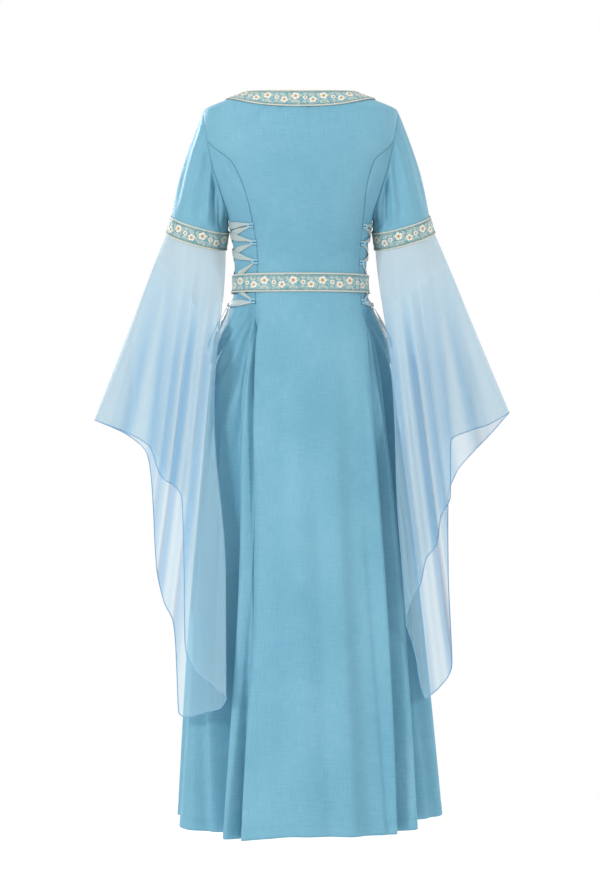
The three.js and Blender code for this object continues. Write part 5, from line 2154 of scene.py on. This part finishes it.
# ---- the setting --------------------------------------------------------------------------------
@dataclass
class Studio:
    """The pale floor, soft light and the camera behind the dress."""

    camera_at: tuple[float, float, float] = (0.0009, 5.2, -0.6345)
    lens: float = 115.0
    sensor: float = 36.0
    floor_z: float = -1.6
    floor_reach: float = 2.4
    floor_sides: int = 96
    surround: float = 0.38
    backdrop: float = 1.0
    aim_z: float = -0.6
    # Each soft light: its name, its place, its size and its power.
    lights: tuple = (
        ("key_left", (3.0, 3.1, 1.3), 0.9, 122),
        ("fill_right", (-3.3, 2.4, 0.5), 0.9, 56),
        ("key_front", (2.6, -3.6, 1.3), 1.1, 132),
        ("fill_front", (-3.4, -2.0, 0.5), 0.9, 34),
        ("top", (0.0, 0.0, 3.4), 3.4, 50),
    )

    def make_camera(self) -> None:
        """The camera, level and straight behind."""
        data = bpy.data.cameras.new("camera")
        data.lens = self.lens
        data.sensor_width = self.sensor
        camera = bpy.data.objects.new("camera", data)
        camera.location = self.camera_at
        camera.rotation_euler = (math.pi / 2, 0, math.pi)
        bpy.context.scene.collection.objects.link(camera)
        bpy.context.scene.camera = camera

    def make_floor(self) -> None:
        """A round pale floor."""
        material, node, shader = new_material("pale_painted_floor")
        place = node("ShaderNodeTexCoord").outputs["Object"]
        grain = node("ShaderNodeTexNoise", {"Vector": place, "Scale": 3.0}).outputs["Fac"]
        ends = {0: grain, 6: colour("fbfbfa"), 7: colour("fefefe")}
        mixed = node("ShaderNodeMix", ends, data_type="RGBA")
        material.node_tree.links.new(mixed.outputs[2], shader.inputs["Base Color"])
        shader.inputs["Roughness"].default_value = 0.9
        mesh = bpy.data.meshes.new("floor")
        turns = [2 * math.pi * k / self.floor_sides for k in range(self.floor_sides)]
        rim = [(self.floor_reach * math.cos(a), self.floor_reach * math.sin(a)) for a in turns]
        face = tuple(range(self.floor_sides))
        mesh.from_pydata([(x, y, self.floor_z) for x, y in rim], [], [face])
        floor = bpy.data.objects.new("floor", mesh)
        floor.data.materials.append(material)
        bpy.context.scene.collection.objects.link(floor)

    def make_light(self) -> None:
        """A bright even surround, with a broad key from each side and one from above."""
        world = bpy.data.worlds.new("studio_surround")
        world.use_nodes = True
        world.node_tree.nodes.clear()
        node = partial(add_node, world.node_tree)
        seen = node("ShaderNodeLightPath").outputs["Is Camera Ray"]
        span = {"Value": seen, "To Min": self.surround, "To Max": self.backdrop}
        strength = node("ShaderNodeMapRange", span)
        paper = {"Color": (1, 1, 1, 1), "Strength": strength.outputs[0]}
        lit = node("ShaderNodeBackground", paper)
        node("ShaderNodeOutputWorld", {"Surface": lit.outputs[0]})
        bpy.context.scene.world = world
        bpy.context.scene.view_settings.view_transform = "Standard"
        for name, place, size, power in self.lights:
            data = bpy.data.lights.new(name, "AREA")
            data.size = size
            data.energy = power
            light = bpy.data.objects.new(name, data)
            light.location = place
            toward = -np.array(place) + (0, 0, self.aim_z)
            light.rotation_mode = "QUATERNION"
            light.rotation_quaternion = Vector(toward).to_track_quat("-Z", "Y")
            bpy.context.scene.collection.objects.link(light)


def main() -> None:
    """Builds the setting, then the dress from its cords outwards."""
    logging.basicConfig(level=logging.INFO, format="%(message)s")
    studio = Studio()
    studio.make_camera()
    wardrobe = Wardrobe()
    for side in Side:
        SideLacing(side).make(wardrobe)
    BodicePanels().make(wardrobe.cloth)
    for side in Side:
        UpperSleeve(side).make(wardrobe.cloth)
    left = HangingSleeve(Side.LEFT, LEFT_HEM, Cut(0.80, 0.90, 0.38))
    right = HangingSleeve(Side.RIGHT, RIGHT_HEM, Cut(0.75, 0.78, 0.31), belly=9.0)
    for sleeve in (left, right):
        sleeve.make(wardrobe.chiffon, wardrobe.hem)
    stitches = StitchRow()
    neck, belt, arm = neck_surface(), belt_surface(), arm_surface()
    panels = ("back_panel", "front_panel")
    arm_cut = Cut(0.033, 0.345, 0.0113)
    bands = (
        FloweredBand("neck_trim", neck, panels, Cut(0.033, 0.70, 0.0231)),
        FloweredBand("belt", belt, panels, Cut(0.033, 0.66, 0.0217)),
        FloweredBand("arm_trim_left", arm, ("sleeve_upper_left",), arm_cut),
        FloweredBand("arm_trim_right", arm, ("sleeve_upper_right",), arm_cut, Side.RIGHT),
    )
    for band in bands:
        LOG.info("%s is %.1f mm long", band.name, band.surface.length)
        band.make(wardrobe, stitches)
    HemStitching().make(wardrobe, stitches)
    studio.make_floor()
    studio.make_light()


if __name__ == "__main__":
    main()
